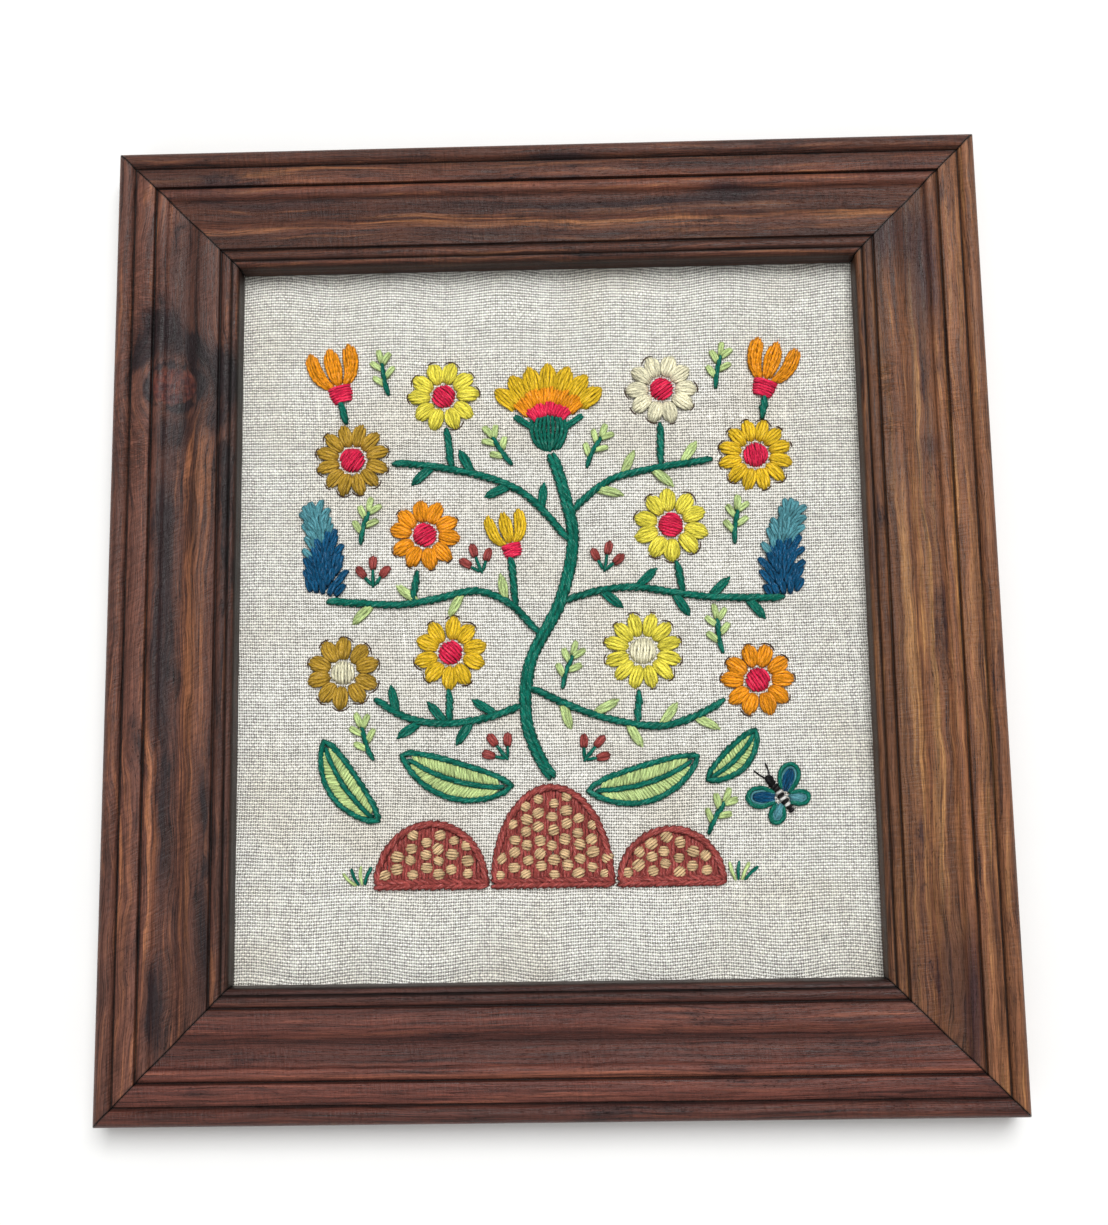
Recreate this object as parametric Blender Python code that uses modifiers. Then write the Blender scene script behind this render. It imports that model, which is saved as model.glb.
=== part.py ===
"""Crewel embroidery panel in a stained pine frame, lying on its back.

X runs to the picture's right, Y to its top and Z out of its face. The origin is on
the surface that the rails lie on, under the middle of the frame. Sizes are in
metres, and MM turns the tables' millimetres into them.
"""

import math

import bmesh
import bpy
import numpy as np
from mathutils import Vector
from mathutils.geometry import interpolate_bezier

MM = 0.001
GAP = 0.3 * MM  # between pieces that touch

# Frame
OUTER_WIDTH = 312 * MM
OUTER_HEIGHT = 344 * MM
FACE = 45 * MM  # the moulding's width
RABBET_WIDTH = 6 * MM
RABBET_DEPTH = 8 * MM  # the lip's underside, above the back
BACK_CHAMFER = 0.5 * MM
WOOD_TONES = {
    "rail_top": (0.105, 0.052, 0.034),
    "rail_bottom": (0.084, 0.036, 0.029),
    "rail_left": (0.080, 0.040, 0.031),
    "rail_right": (0.150, 0.072, 0.042),
}

# Linen, stretched in the rabbet behind the lip
LINEN_THICK = 1.2 * MM
LINEN_PLAY = 0.5 * MM  # from its edge to the rabbet's wall
LINEN_CELLS = (26, 30)
LINEN_SWELL = 0.7 * MM  # how far its middle sags
SWELL_LEAN = 0.4  # share of the sag that comes and goes across the panel
SWELL_PITCH = (390 * MM, 346 * MM)
SWELL_SHIFT = (0.7, 0.4)  # radians
RIPPLE = 0.5 * MM  # of the pulled threads along its edges
RIPPLE_PITCH = 41 * MM
RIPPLE_SHIFT = 0.9  # radians, one way at the top and the other at the foot
RIPPLE_REACH = 9 * MM  # the ripples die out this far from the sight edge
RIPPLE_START = 3 * MM  # and begin this far from it
LINEN_TONE = (0.64, 0.62, 0.55)

# Wool, worked over the linen
STEM_WIDTH = 2.9 * MM
TRUNK_WIDTH = 4.4 * MM
STEM_HEIGHT = 1.5 * MM
STEM_SPACING = 4  # between a stem's points, in mm
STEM_MARGIN = 0.6  # between a stem and the one it springs from, in mm
LEAFLET = (5.2 * MM, 1.7 * MM, 0.8 * MM)  # half length, half width, half height
LEAFLET_LIFT = 0.13 * MM  # keeps its edges off the stem's own
LEAFLET_LEAN = 48  # degrees from the stem's heading
BLADE_CLEAR = 0.6  # between a stem and the foot of a blade, in mm
PATH_STEP = 0.5  # between the points that a stem is first traced with, in mm
PATH_KEPT = 6  # points of the trace that its final curve runs through
WOOL_TONES = {
    "lemon": (0.83, 0.74, 0.09),
    "golden": (0.86, 0.55, 0.02),
    "bronze": (0.42, 0.23, 0.03),
    "orange": (0.91, 0.27, 0.01),
    "cream": (0.80, 0.73, 0.53),
    "teal": (0.010, 0.18, 0.11),
    "leaf": (0.46, 0.60, 0.20),
    "blue": (0.010, 0.08, 0.22),
    "rust": (0.38, 0.055, 0.045),
}

# name, kind, wool, x, y, radius, turn: a flower's place and size, in mm and degrees
MOTIFS = (
    ("carnation_top", "carnation", "golden", 0, 65, 27, 90),
    ("blossom_lemon_top", "blossom", "lemon", -38, 80, 13.5, 20),
    ("blossom_cream_top", "blossom", "cream", 41, 81, 13.5, 55),
    ("roundel_bronze_left", "roundel", "bronze", -71, 57, 14, 0),
    ("roundel_golden_right", "roundel", "golden", 74, 56, 14, 0),
    ("blossom_orange_left", "blossom", "orange", -45, 29, 13.5, 10),
    ("blossom_lemon_right", "blossom", "lemon", 43, 31, 14, 40),
    ("tulip_orange_left", "tulip", "orange", -77, 88, 12, 105),
    ("tulip_orange_right", "tulip", "orange", 80, 87, 12, 72),
    ("tulip_golden_mid", "tulip", "golden", -15, 28, 9.5, 104),
    ("blossom_golden_low", "blossom", "golden", -36, -13.5, 13.5, 68),
    ("roundel_lemon_low", "roundel", "lemon", 32, -14, 14.5, 0),
    ("blossom_bronze_left", "blossom", "bronze", -74, -20, 13.5, 33),
    ("blossom_orange_low", "blossom", "orange", 72, -25, 13.5, 90),
    ("butterfly", "butterfly", "teal", 79, -66, 13, 125),
)

# name, x, y, half length, half width, turn, bend, wool: leaves and flower spikes
BLADES = (
    ("leaf_low_left", -34, -55, 20, 7.0, 163, 3.5, "leaf"),
    ("leaf_low_right", 31, -57, 20, 7.0, 16, -3.5, "leaf"),
    ("leaf_far_left", -71, -58, 17, 6.0, 124, 3.0, "leaf"),
    ("leaf_far_right", 62, -51, 12, 4.6, 44, -2.0, "leaf"),
    ("spike_blue_left", -84, 25, 17, 6.8, 99, -2.5, "blue"),
    ("spike_blue_right", 85, 22, 17, 6.8, 81, 2.5, "blue"),
)

# name, x, half width, height: hillocks along the foot of the design
MOUND_FOOT = -95
MOUNDS = (
    ("mound_left", -43, 20, 23),
    ("mound_centre", -1, 21.4, 35),
    ("mound_right", 40, 19, 20),
)

# The trunk's way up, in mm
TRUNK = ((-1, -58), (-9, -40), (-8, -18), (3, 4), (8, 26), (5, 44), (1, 57.5))

# name, the piece it ends at, how many leaflets, and its way there, in mm
STEMS = (
    ("stem_low_left", "blossom_bronze_left", 5, ((-9, -32), (-30, -38), (-52, -36), (-74, -20))),
    ("stem_low_right", "blossom_orange_low", 5, ((-8, -26), (14, -36), (42, -40), (72, -25))),
    ("stem_mid_left", "spike_blue_left", 4, ((-4, -8), (-22, 8), (-52, 4), (-82, 6))),
    ("stem_mid_right", "spike_blue_right", 5, ((3, 4), (26, 9), (54, 5), (83, 4))),
    ("stem_high_left", "roundel_bronze_left", 4, ((8, 24), (-10, 44), (-36, 53), (-71, 57))),
    ("stem_high_right", "roundel_golden_right", 4, ((7, 36), (22, 48), (46, 53), (74, 56))),
)

# name, the stem or flower it leaves, its share along a stem, and the piece it ends at
TWIGS = (
    ("twig_golden_low", "stem_low_left", 0.40, "blossom_golden_low"),
    ("twig_lemon_low", "stem_low_right", 0.46, "roundel_lemon_low"),
    ("twig_orange_left", "stem_mid_left", 0.62, "blossom_orange_left"),
    ("twig_tulip_mid", "stem_mid_left", 0.15, "tulip_golden_mid"),
    ("twig_lemon_right", "stem_mid_right", 0.55, "blossom_lemon_right"),
    ("twig_lemon_top", "stem_high_left", 0.60, "blossom_lemon_top"),
    ("twig_cream_top", "stem_high_right", 0.52, "blossom_cream_top"),
    ("twig_tulip_left", "roundel_bronze_left", 0, "tulip_orange_left"),
    ("twig_tulip_right", "roundel_golden_right", 0, "tulip_orange_right"),
)

# Share of the way from the middle to the edge, height in mm: each kind's rings
RINGS = {
    "blossom": ((0.0, 2.1), (0.24, 1.9), (0.34, 1.0), (0.62, 1.9), (0.90, 1.5), (1.0, 0.0)),
    "roundel": ((0.0, 2.2), (0.26, 2.0), (0.38, 1.1), (0.66, 1.8), (0.92, 1.4), (1.0, 0.0)),
    "tulip": ((0.0, 1.9), (0.35, 1.8), (0.68, 1.7), (0.90, 1.4), (1.0, 0.0)),
    "carnation": ((0.0, 1.4), (0.30, 2.0), (0.62, 1.9), (0.90, 1.5), (1.0, 0.0)),
    "butterfly": ((0.0, 2.0), (0.30, 1.2), (0.65, 1.5), (0.90, 1.2), (1.0, 0.0)),
    "blade": ((0.0, 1.1), (0.50, 1.6), (0.85, 1.2), (1.0, 0.0)),
    "mound": ((0.0, 2.0), (0.50, 1.9), (0.90, 1.6), (1.0, 0.0)),
}
PETALS = {"blossom": 5, "roundel": 12}
PETAL_VALLEY = 0.45  # share of the height lost between two petals
PETAL_CLEFT = 0.34  # share of the radius lost there
PETAL_DIP = 0.09  # and in the middle of a petal's tip
SCALLOP = 0.12  # share of the radius lost between a roundel's scallops
# Degrees from the axis, share of the radius: a tulip's edge on either side
TULIP_EDGE = ((0, 1.0), (15, 0.62), (30, 1.12), (45, 0.95), (75, 0.74), (120, 0.66), (180, 0.76))
# The same for a carnation past its fan, down to its cup
CARNATION_SIDE = ((54, 1.0), (63, 0.74), (72, 0.40), (81, 0.26), (180, 0.24))
CARNATION_POINT = 18  # degrees from one point of the fan to the next
CARNATION_NOTCH = 0.15  # share of the radius lost between two points
# A butterfly's radius: its body's, its tail's lobe and its wings' lobes, each with
# the share of the radius it adds, its angle and its spread in radians
BODY_SHARE = 0.30
TAIL_LOBE = (0.12, math.pi, 0.4)
WING_LOBES = ((0.70, 0.95, 0.72), (0.48, 2.2, 0.62))
SPIKE_WAVES = (0.12, 9)  # a flower spike's edge: share of its width, and how fast
SPIKE_TAPER = 0.25
MOUND_HEART = (0, 0.35)  # the middle of a hillock's rings, in shares of its size
# Where a stem stops, as a share of the radius of the flower it reaches
STOPS = {"tulip": 0.80, "carnation": 0.26}
SEGMENTS = {
    "blossom": 40,
    "roundel": 36,
    "tulip": 24,
    "carnation": 40,
    "butterfly": 36,
    "blade": 18,
    "mound": 24,
}


def clear_scene():
    for obj in list(bpy.data.objects):
        bpy.data.objects.remove(obj)


def collection(name):
    made = bpy.data.collections.new(name)
    bpy.context.scene.collection.children.link(made)
    return made


def material(name, colour, roughness):
    made = bpy.data.materials.new(name)
    made.use_nodes = True
    shader = made.node_tree.nodes["Principled BSDF"]
    shader.inputs["Base Color"].default_value = (*colour, 1)
    shader.inputs["Roughness"].default_value = roughness
    shader.inputs["Metallic"].default_value = 0.0
    return made


def add_object(name, mesh, finish, into):
    obj = bpy.data.objects.new(name, mesh)
    obj.data.materials.append(finish)
    into.objects.link(obj)
    return obj


def mesh_of_curve(curve, tolerance=0.00001):
    """A closed mesh of a curve's tube or slab, with its caps joined on."""
    guide = bpy.data.objects.new("guide", curve)
    bpy.context.scene.collection.objects.link(guide)
    graph = bpy.context.evaluated_depsgraph_get()
    mesh = bpy.data.meshes.new_from_object(guide.evaluated_get(graph))
    bpy.data.objects.remove(guide)
    welded = bmesh.new()
    welded.from_mesh(mesh)
    bmesh.ops.remove_doubles(welded, verts=welded.verts, dist=tolerance)
    bmesh.ops.recalc_face_normals(welded, faces=welded.faces)
    welded.to_mesh(mesh)
    welded.free()
    return mesh


def move_points(mesh, rule):
    """Moves every point of a mesh, all at once, by a rule on an array of points."""
    flat = np.empty(len(mesh.vertices) * 3)
    mesh.vertices.foreach_get("co", flat)
    mesh.vertices.foreach_set("co", np.asarray(rule(flat.reshape(-1, 3))).ravel())
    mesh.update()


def arc(centre, radii, first, last, steps):
    """Points of a bead: an elliptic arc from one angle to the other, in degrees."""
    angles = np.radians(np.linspace(first, last, steps))
    return np.stack([centre[0] + radii[0] * np.cos(angles), centre[1] + radii[1] * np.sin(angles)], 1)


def sweep_between(start, end, steps):
    """Points of a flowing curve that leaves and arrives level."""
    share = np.linspace(0, 1, steps)
    rise = (1 - np.cos(math.pi * share)) / 2
    return np.stack([start[0] + (end[0] - start[0]) * share, start[1] + (end[1] - start[1]) * rise], 1)


def crown(start, end, rise, steps):
    """Points of a slightly rounded band."""
    share = np.linspace(0, 1, steps)
    height = start[1] + (end[1] - start[1]) * share + rise * 4 * share * (1 - share)
    return np.stack([start[0] + (end[0] - start[0]) * share, height], 1)


def moulding_profile():
    """The moulding's section, in mm: distance in from the outer edge, height above the back."""
    face, wall, ledge = FACE / MM, (FACE - RABBET_WIDTH) / MM, RABBET_DEPTH / MM
    chamfer = BACK_CHAMFER / MM
    pieces = [
        arc((3.3, 14.6), (3.3, 3.6), 180, 36, 9),  # outer bead
        [(6.5, 16.1)],  # groove
        crown((7.1, 17.3), (13.8, 17.8), 0.6, 6),  # band
        [(14.4, 16.6)],  # groove
        arc((17.2, 16.6), (2.5, 2.4), 160, 28, 7),  # inner bead
        sweep_between((20.6, 17.0), (25.6, 16.1), 5),  # down into the cove
        sweep_between((25.6, 16.1), (32.0, 17.9), 6)[1:],  # up to the crest
        sweep_between((32.0, 17.9), (37.8, 17.3), 5)[1:],  # down to the groove
        [(38.4, 16.4)],  # groove
        crown((39.0, 17.3), (41.9, 17.3), 0.45, 5),  # step bead
        [(42.5, 16.5)],  # groove
        arc((43.1, 14.8), (face - 43.1, 2.4), 95, 0, 6),  # lip
        [(face, ledge), (wall, ledge), (wall, chamfer), (wall - chamfer, 0)],  # rabbet
        [(chamfer, 0), (0, chamfer)],  # back
    ]
    return np.concatenate([np.asarray(piece, float) for piece in pieces])


def rail(name, length, turn, reach, into):
    """One mitred rail. Its own X runs along it and its own Y from the outer edge inwards."""
    curve = bpy.data.curves.new(name, "CURVE")
    curve.dimensions = "2D"
    curve.fill_mode = "BOTH"
    curve.extrude = length / 2
    profile = moulding_profile() * MM
    spline = curve.splines.new("POLY")
    spline.points.add(len(profile) - 1)
    for point, (inward, height) in zip(spline.points, profile):
        point.co = (inward, height, 0, 1)
    spline.use_cyclic_u = True
    mesh = mesh_of_curve(curve)

    def mitre(points):
        inward, height, along = points.T
        end = length / 2 - inward - GAP / math.sqrt(2)
        return np.stack([np.sign(along) * end, inward, height], 1)

    move_points(mesh, mitre)
    mesh.shade_smooth()
    mesh.set_sharp_from_angle(angle=math.radians(32))
    obj = add_object(name, mesh, material(name, WOOD_TONES[name], 0.42), into)
    obj.rotation_euler.z = math.radians(turn)
    away = Vector((0, -reach, 0))
    away.rotate(obj.rotation_euler)
    obj.location = away


def linen_top(x, y):
    """Height of the linen's face: broad swells, and ripples along the edges."""
    half_x = OUTER_WIDTH / 2 - FACE
    half_y = OUTER_HEIGHT / 2 - FACE
    inside_x = np.clip((half_x - np.abs(x)) / half_x, 0, 1)
    inside_y = np.clip((half_y - np.abs(y)) / half_y, 0, 1)
    swell = np.sin(math.pi * inside_x / 2) * np.sin(math.pi * inside_y / 2)
    across = np.sin(2 * math.pi * x / SWELL_PITCH[0] + SWELL_SHIFT[0])
    up = np.cos(2 * math.pi * y / SWELL_PITCH[1] + SWELL_SHIFT[1])
    lean = 1 - SWELL_LEAN + SWELL_LEAN * across * up
    far = inside_y * half_y
    near = np.exp(-far / RIPPLE_REACH) * np.minimum(1, far / RIPPLE_START)
    wave = np.sin(2 * math.pi * x / RIPPLE_PITCH + RIPPLE_SHIFT * np.sign(y))
    return RABBET_DEPTH - GAP - LINEN_SWELL * swell * lean - RIPPLE * near * (1 + wave)


def linen(into):
    half_x = OUTER_WIDTH / 2 - FACE + RABBET_WIDTH - LINEN_PLAY
    half_y = OUTER_HEIGHT / 2 - FACE + RABBET_WIDTH - LINEN_PLAY
    grid = bmesh.new()
    bmesh.ops.create_grid(grid, x_segments=LINEN_CELLS[0], y_segments=LINEN_CELLS[1], size=1)
    mesh = bpy.data.meshes.new("linen_ground")
    grid.to_mesh(mesh)
    grid.free()

    def stretch(points):
        x = points[:, 0] * half_x
        y = points[:, 1] * half_y
        return np.stack([x, y, linen_top(x, y)], 1)

    move_points(mesh, stretch)
    mesh.shade_smooth()
    mesh.set_sharp_from_angle(angle=math.radians(50))
    obj = add_object("linen_ground", mesh, material("linen_ground", LINEN_TONE, 0.9), into)
    thickness = obj.modifiers.new("thickness", "SOLIDIFY")
    thickness.thickness = LINEN_THICK
    thickness.offset = -1


def bump(angle, middle, spread):
    """One rounded lobe of an outline, 1 in its middle and 0 past its spread."""
    away = (angle - middle + math.pi) % (2 * math.pi) - math.pi
    return np.maximum(0, np.cos(np.clip(away / spread, -1, 1) * math.pi / 2)) ** 0.7


def blossom_edge(angle):
    """Five broad petals, each with a dip in its tip."""
    petal = np.abs(np.cos(PETALS["blossom"] * angle / 2))
    radius = 1 - PETAL_CLEFT * (1 - petal) ** 1.2 - PETAL_DIP * np.maximum(0, petal - 0.92) / 0.08
    return radius * np.cos(angle), radius * np.sin(angle)


def roundel_edge(angle):
    """A wheel with a scalloped rim."""
    radius = 1 - SCALLOP * (1 - np.abs(np.cos(PETALS["roundel"] * angle / 2)))
    return radius * np.cos(angle), radius * np.sin(angle)


def off_axis(angle):
    """Degrees between an angle and the +X axis."""
    return np.degrees(np.abs((angle + math.pi) % (2 * math.pi) - math.pi))


def tulip_edge(angle):
    """A cup along +X with three pointed petals."""
    radius = np.interp(off_axis(angle), *np.array(TULIP_EDGE, float).T)
    return radius * np.cos(angle), radius * np.sin(angle)


def carnation_edge(angle):
    """A fan along +X with seven points, on a small green cup."""
    away = off_axis(angle)
    fan = 1 - CARNATION_NOTCH * np.abs(np.sin(math.pi * away / CARNATION_POINT))
    side = np.interp(away, *np.array(CARNATION_SIDE, float).T)
    radius = np.where(away < CARNATION_SIDE[0][0] + 1, fan, side)
    return radius * np.cos(angle), radius * np.sin(angle)


def butterfly_edge(angle):
    """Two fore wings, two hind wings, and a body along X."""
    share, middle, spread = TAIL_LOBE
    radius = BODY_SHARE + share * bump(angle, middle, spread)
    for share, middle, spread in WING_LOBES:
        radius = radius + share * bump(angle, middle, spread)
        radius = radius + share * bump(angle, -middle, spread)
    return radius * np.cos(angle), radius * np.sin(angle)


EDGES = {
    "blossom": blossom_edge,
    "roundel": roundel_edge,
    "tulip": tulip_edge,
    "carnation": carnation_edge,
    "butterfly": butterfly_edge,
}


def padded_relief(name, kind, edge, place, finish, into, middle=(0, 0), valley=None):
    """A low padded shape on the linen: half a sphere whose rings take the kind's own
    shares and heights, and whose rim takes the edge. place turns the shape's own
    millimetres into the panel's."""
    rings = RINGS[kind]
    shape = bmesh.new()
    bmesh.ops.create_uvsphere(
        shape, u_segments=SEGMENTS[kind], v_segments=2 * (len(rings) - 1), radius=1
    )
    bmesh.ops.bisect_plane(
        shape,
        geom=[*shape.verts, *shape.edges, *shape.faces],
        dist=0.001,
        plane_co=(0, 0, 0),
        plane_no=(0, 0, -1),
        clear_outer=True,
    )
    rim = [e for e in shape.edges if e.is_boundary]
    bmesh.ops.contextual_create(shape, geom=rim)
    bmesh.ops.recalc_face_normals(shape, faces=shape.faces)
    mesh = bpy.data.meshes.new(name)
    shape.to_mesh(mesh)
    shape.free()

    def form(points):
        angle = np.arctan2(points[:, 1], points[:, 0])
        ring = np.arccos(np.clip(points[:, 2], -1, 1)) / (math.pi / 2) * (len(rings) - 1)
        shares, heights = np.array(rings).T
        share = np.interp(ring, np.arange(len(rings)), shares)
        height = np.interp(ring, np.arange(len(rings)), heights)
        if valley is not None:
            height = height * (1 - valley(angle) * np.clip(share / 0.5, 0, 1))
        edge_x, edge_y = edge(angle)
        x, y = place(middle[0] + (edge_x - middle[0]) * share, middle[1] + (edge_y - middle[1]) * share)
        x, y = x * MM, y * MM
        return np.stack([x, y, linen_top(x, y) + GAP + height * MM], 1)

    move_points(mesh, form)
    mesh.shade_smooth()
    mesh.set_sharp_from_angle(angle=math.radians(60))
    add_object(name, mesh, finish, into)


def turned(x, y, turn):
    angle = math.radians(turn)
    return x * math.cos(angle) - y * math.sin(angle), x * math.sin(angle) + y * math.cos(angle)


def motif(row, finishes, into):
    name, kind, wool, x, y, radius, turn = row

    def place(u, v):
        across, up = turned(u * radius, v * radius, turn)
        return x + across, y + up

    def between_petals(angle):
        return PETAL_VALLEY * np.abs(np.sin(PETALS[kind] * angle / 2)) ** 6

    valley = between_petals if kind in PETALS else None
    padded_relief(name, kind, EDGES[kind], place, finishes[wool], into, valley=valley)


def blade(row, finishes, into):
    """A pointed leaf or a flower spike, bowed along its length."""
    name, x, y, half_length, half_width, turn, bend, wool = row

    def edge(angle):
        along = np.cos(angle)
        across = np.sin(angle) * np.sqrt(np.abs(np.sin(angle)))
        if wool == "blue":
            wave = 1 + SPIKE_WAVES[0] * np.cos(SPIKE_WAVES[1] * along)
            across = across * wave * (1 - SPIKE_TAPER * along)
        return along, across

    def place(u, v):
        bowed = v * half_width + bend * (1 - u**2)
        across, up = turned(u * half_length, bowed, turn)
        return x + across, y + up

    padded_relief(name, "blade", edge, place, finishes[wool], into)


def mound(row, finishes, into):
    name, x, half_width, height = row

    def edge(angle):
        return np.cos(angle), np.maximum(0, np.sin(angle))

    def place(u, v):
        return x + u * half_width, MOUND_FOOT + v * height

    padded_relief(name, "mound", edge, place, finishes["rust"], into, middle=MOUND_HEART)


def flowing_path(points, spacing):
    """Points a set distance apart on a smooth curve through the given ones, in mm."""
    points = [Vector((*p, 0)) for p in points]
    way = [points[0]]
    for i in range(len(points) - 1):
        before = points[max(i - 1, 0)]
        after = points[min(i + 2, len(points) - 1)]
        start, end = points[i], points[i + 1]
        way += interpolate_bezier(start, start + (end - before) / 6, end - (after - start) / 6, end, 9)[1:]
    way = np.array([p[:2] for p in way])
    along = np.concatenate([[0], np.cumsum(np.linalg.norm(np.diff(way, axis=0), axis=1))])
    at = np.linspace(0, along[-1], max(3, round(along[-1] / spacing) + 1))
    return np.stack([np.interp(at, along, way[:, k]) for k in range(2)], 1)


def tube(points, width):
    """A flattened tube along a path in mm, at height 0, as an unlinked mesh."""
    curve = bpy.data.curves.new("stem", "CURVE")
    curve.dimensions = "3D"
    curve.bevel_depth = width / 2
    curve.bevel_resolution = 1
    curve.use_fill_caps = True
    spline = curve.splines.new("POLY")
    spline.points.add(len(points) - 1)
    for point, (x, y) in zip(spline.points, points):
        point.co = (x * MM, y * MM, 0, 1)
    mesh = mesh_of_curve(curve)
    flatten = STEM_HEIGHT / width
    move_points(mesh, lambda p: p * (1, 1, flatten))
    return mesh


def leaflet(x, y, turn):
    """A small leaf at the end of a stitch, as an unlinked mesh at height 0."""
    shape = bmesh.new()
    bmesh.ops.create_uvsphere(shape, u_segments=8, v_segments=6, radius=1)
    mesh = bpy.data.meshes.new("leaflet")
    shape.to_mesh(mesh)
    shape.free()

    def form(points):
        across, up = turned(points[:, 0] * LEAFLET[0], points[:, 1] * LEAFLET[1], turn)
        return np.stack([x * MM + across, y * MM + up, points[:, 2] * LEAFLET[2] + LEAFLET_LIFT], 1)

    move_points(mesh, form)
    return mesh


def fuse(base, others, into):
    """Fuses other meshes to an object's by Boolean unions, and applies them."""
    for number, mesh in enumerate(others):
        guide = bpy.data.objects.new(f"{base.name}_leaflet_{number}", mesh)
        into.objects.link(guide)
        guide.hide_render = True
        guide.display_type = "WIRE"
        union = base.modifiers.new(f"leaflet {number}", "BOOLEAN")
        union.operation = "UNION"
        union.solver = "EXACT"
        union.object = guide
    graph = bpy.context.evaluated_depsgraph_get()
    fused = bpy.data.meshes.new_from_object(base.evaluated_get(graph))
    for modifier in base.modifiers:
        bpy.data.objects.remove(modifier.object)
    base.modifiers.clear()
    base.data = fused


def stem(name, path, width, leaflets, finish, into, cutters):
    """A stitched stem with its leaflets, laid on the linen."""
    base = add_object(name, tube(path, width), finish, into)
    blades = []
    for i in range(leaflets):
        side = 1 if i % 2 else -1
        at = (i + 1) / (leaflets + 1) * (len(path) - 1)
        low = int(at)
        step = path[low + 1] - path[low]
        here = path[low] + step * (at - low)
        heading = math.degrees(math.atan2(step[1], step[0])) + side * LEAFLET_LEAN
        across, up = turned(LEAFLET[0] / MM, 0, heading)
        blades.append(leaflet(here[0] + across, here[1] + up, heading))
    fuse(base, blades, cutters)

    def lay(points):
        lift = linen_top(points[:, 0], points[:, 1]) + GAP + max(STEM_HEIGHT / 2, LEAFLET[2])
        return np.stack([points[:, 0], points[:, 1], points[:, 2] + lift], 1)

    move_points(base.data, lay)


def places():
    """Each flower's middle and the radius that a stem stops at, in mm, by name."""
    found = {row[0]: (row[3], row[4], row[5] * STOPS.get(row[1], 1.0)) for row in MOTIFS}
    for name, x, y, half_length, half_width, turn, _, _ in BLADES:
        across, up = turned(-half_length, 0, turn)
        found[name] = (x + across, y + up, BLADE_CLEAR)
    return found


def trimmed(way, source, source_clear, goal, goal_clear):
    """The stretch of a way that is clear of the points it leaves and of the place it reaches."""
    from_source = np.linalg.norm(way[:, None] - np.atleast_2d(source)[None], axis=2).min(1)
    from_goal = np.linalg.norm(way - goal, axis=1)
    kept = way[(from_source > source_clear) & (from_goal > goal_clear)]
    return flowing_path(kept[:: max(1, (len(kept) - 1) // PATH_KEPT)], STEM_SPACING)


def stem_paths():
    """Name, path, width and leaflets of every stem, each stopping short of what it meets."""
    spot = places()
    half_stem = STEM_WIDTH / MM / 2
    half_trunk = TRUNK_WIDTH / MM / 2
    trunk = flowing_path(TRUNK, 1)
    found = [("trunk", flowing_path(TRUNK, 5), TRUNK_WIDTH, 0)]
    ways = {}
    for name, goal, leaflets, way in STEMS:
        ways[name] = flowing_path(way, PATH_STEP)
        x, y, radius = spot[goal]
        clear = half_trunk + half_stem + STEM_MARGIN
        path = trimmed(ways[name], trunk, clear, (x, y), radius + half_stem)
        found.append((name, path, STEM_WIDTH, leaflets))
    for name, source, share, goal in TWIGS:
        x, y, radius = spot[goal]
        if source in ways:
            leaves = ways[source]
            start = leaves[round(share * (len(leaves) - 1))]
            clear = 2 * half_stem + STEM_MARGIN
        else:
            start = leaves = spot[source][:2]
            clear = spot[source][2] + half_stem
        way = flowing_path([start, (x, y)], PATH_STEP)
        path = trimmed(way, leaves, clear, (x, y), radius + half_stem)
        found.append((name, path, STEM_WIDTH, 0))
    return found


def main():
    clear_scene()
    panel = collection("crewel_embroidery_panel")
    cutters = collection("cutters")
    cutters.hide_render = True
    rail("rail_bottom", OUTER_WIDTH, 0, OUTER_HEIGHT / 2, panel)
    rail("rail_right", OUTER_HEIGHT, 90, OUTER_WIDTH / 2, panel)
    rail("rail_top", OUTER_WIDTH, 180, OUTER_HEIGHT / 2, panel)
    rail("rail_left", OUTER_HEIGHT, 270, OUTER_WIDTH / 2, panel)
    linen(panel)
    finishes = {name: material(f"wool_{name}", tone, 0.85) for name, tone in WOOL_TONES.items()}
    for row in MOTIFS:
        motif(row, finishes, panel)
    for row in BLADES:
        blade(row, finishes, panel)
    for row in MOUNDS:
        mound(row, finishes, panel)
    for name, path, width, leaflets in stem_paths():
        stem(name, path, width, leaflets, finishes["teal"], panel, cutters)


main()
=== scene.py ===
"""Looks for a crewel embroidery panel in its moulded pine frame, lying face up.

X runs to the picture's right, Y to its top and Z out of its face. The tables hold
millimetres, and MM turns them into metres.
"""

import math
import zlib

import bmesh
import bpy
import numpy as np
from bpy.props import FloatProperty, FloatVectorProperty, IntProperty, PointerProperty
from mathutils import Matrix, Vector, noise
from mathutils.geometry import interpolate_bezier


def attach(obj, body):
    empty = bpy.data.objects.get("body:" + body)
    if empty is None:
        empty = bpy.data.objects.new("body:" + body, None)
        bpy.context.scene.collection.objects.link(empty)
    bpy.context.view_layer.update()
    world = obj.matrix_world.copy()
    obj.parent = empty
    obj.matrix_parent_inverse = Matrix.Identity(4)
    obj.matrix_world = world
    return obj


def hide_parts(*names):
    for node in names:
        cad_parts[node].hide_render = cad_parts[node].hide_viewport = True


bl_info = {
    "name": "Framed crewel embroidery panel",
    "version": (1, 0, 0),
    "blender": (4, 5, 0),
    "location": "3D View > Sidebar > Crewel",
    "description": "Dresses the panel in stained pine, woven linen and wool stitches",
    "category": "Object",
}

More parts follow.
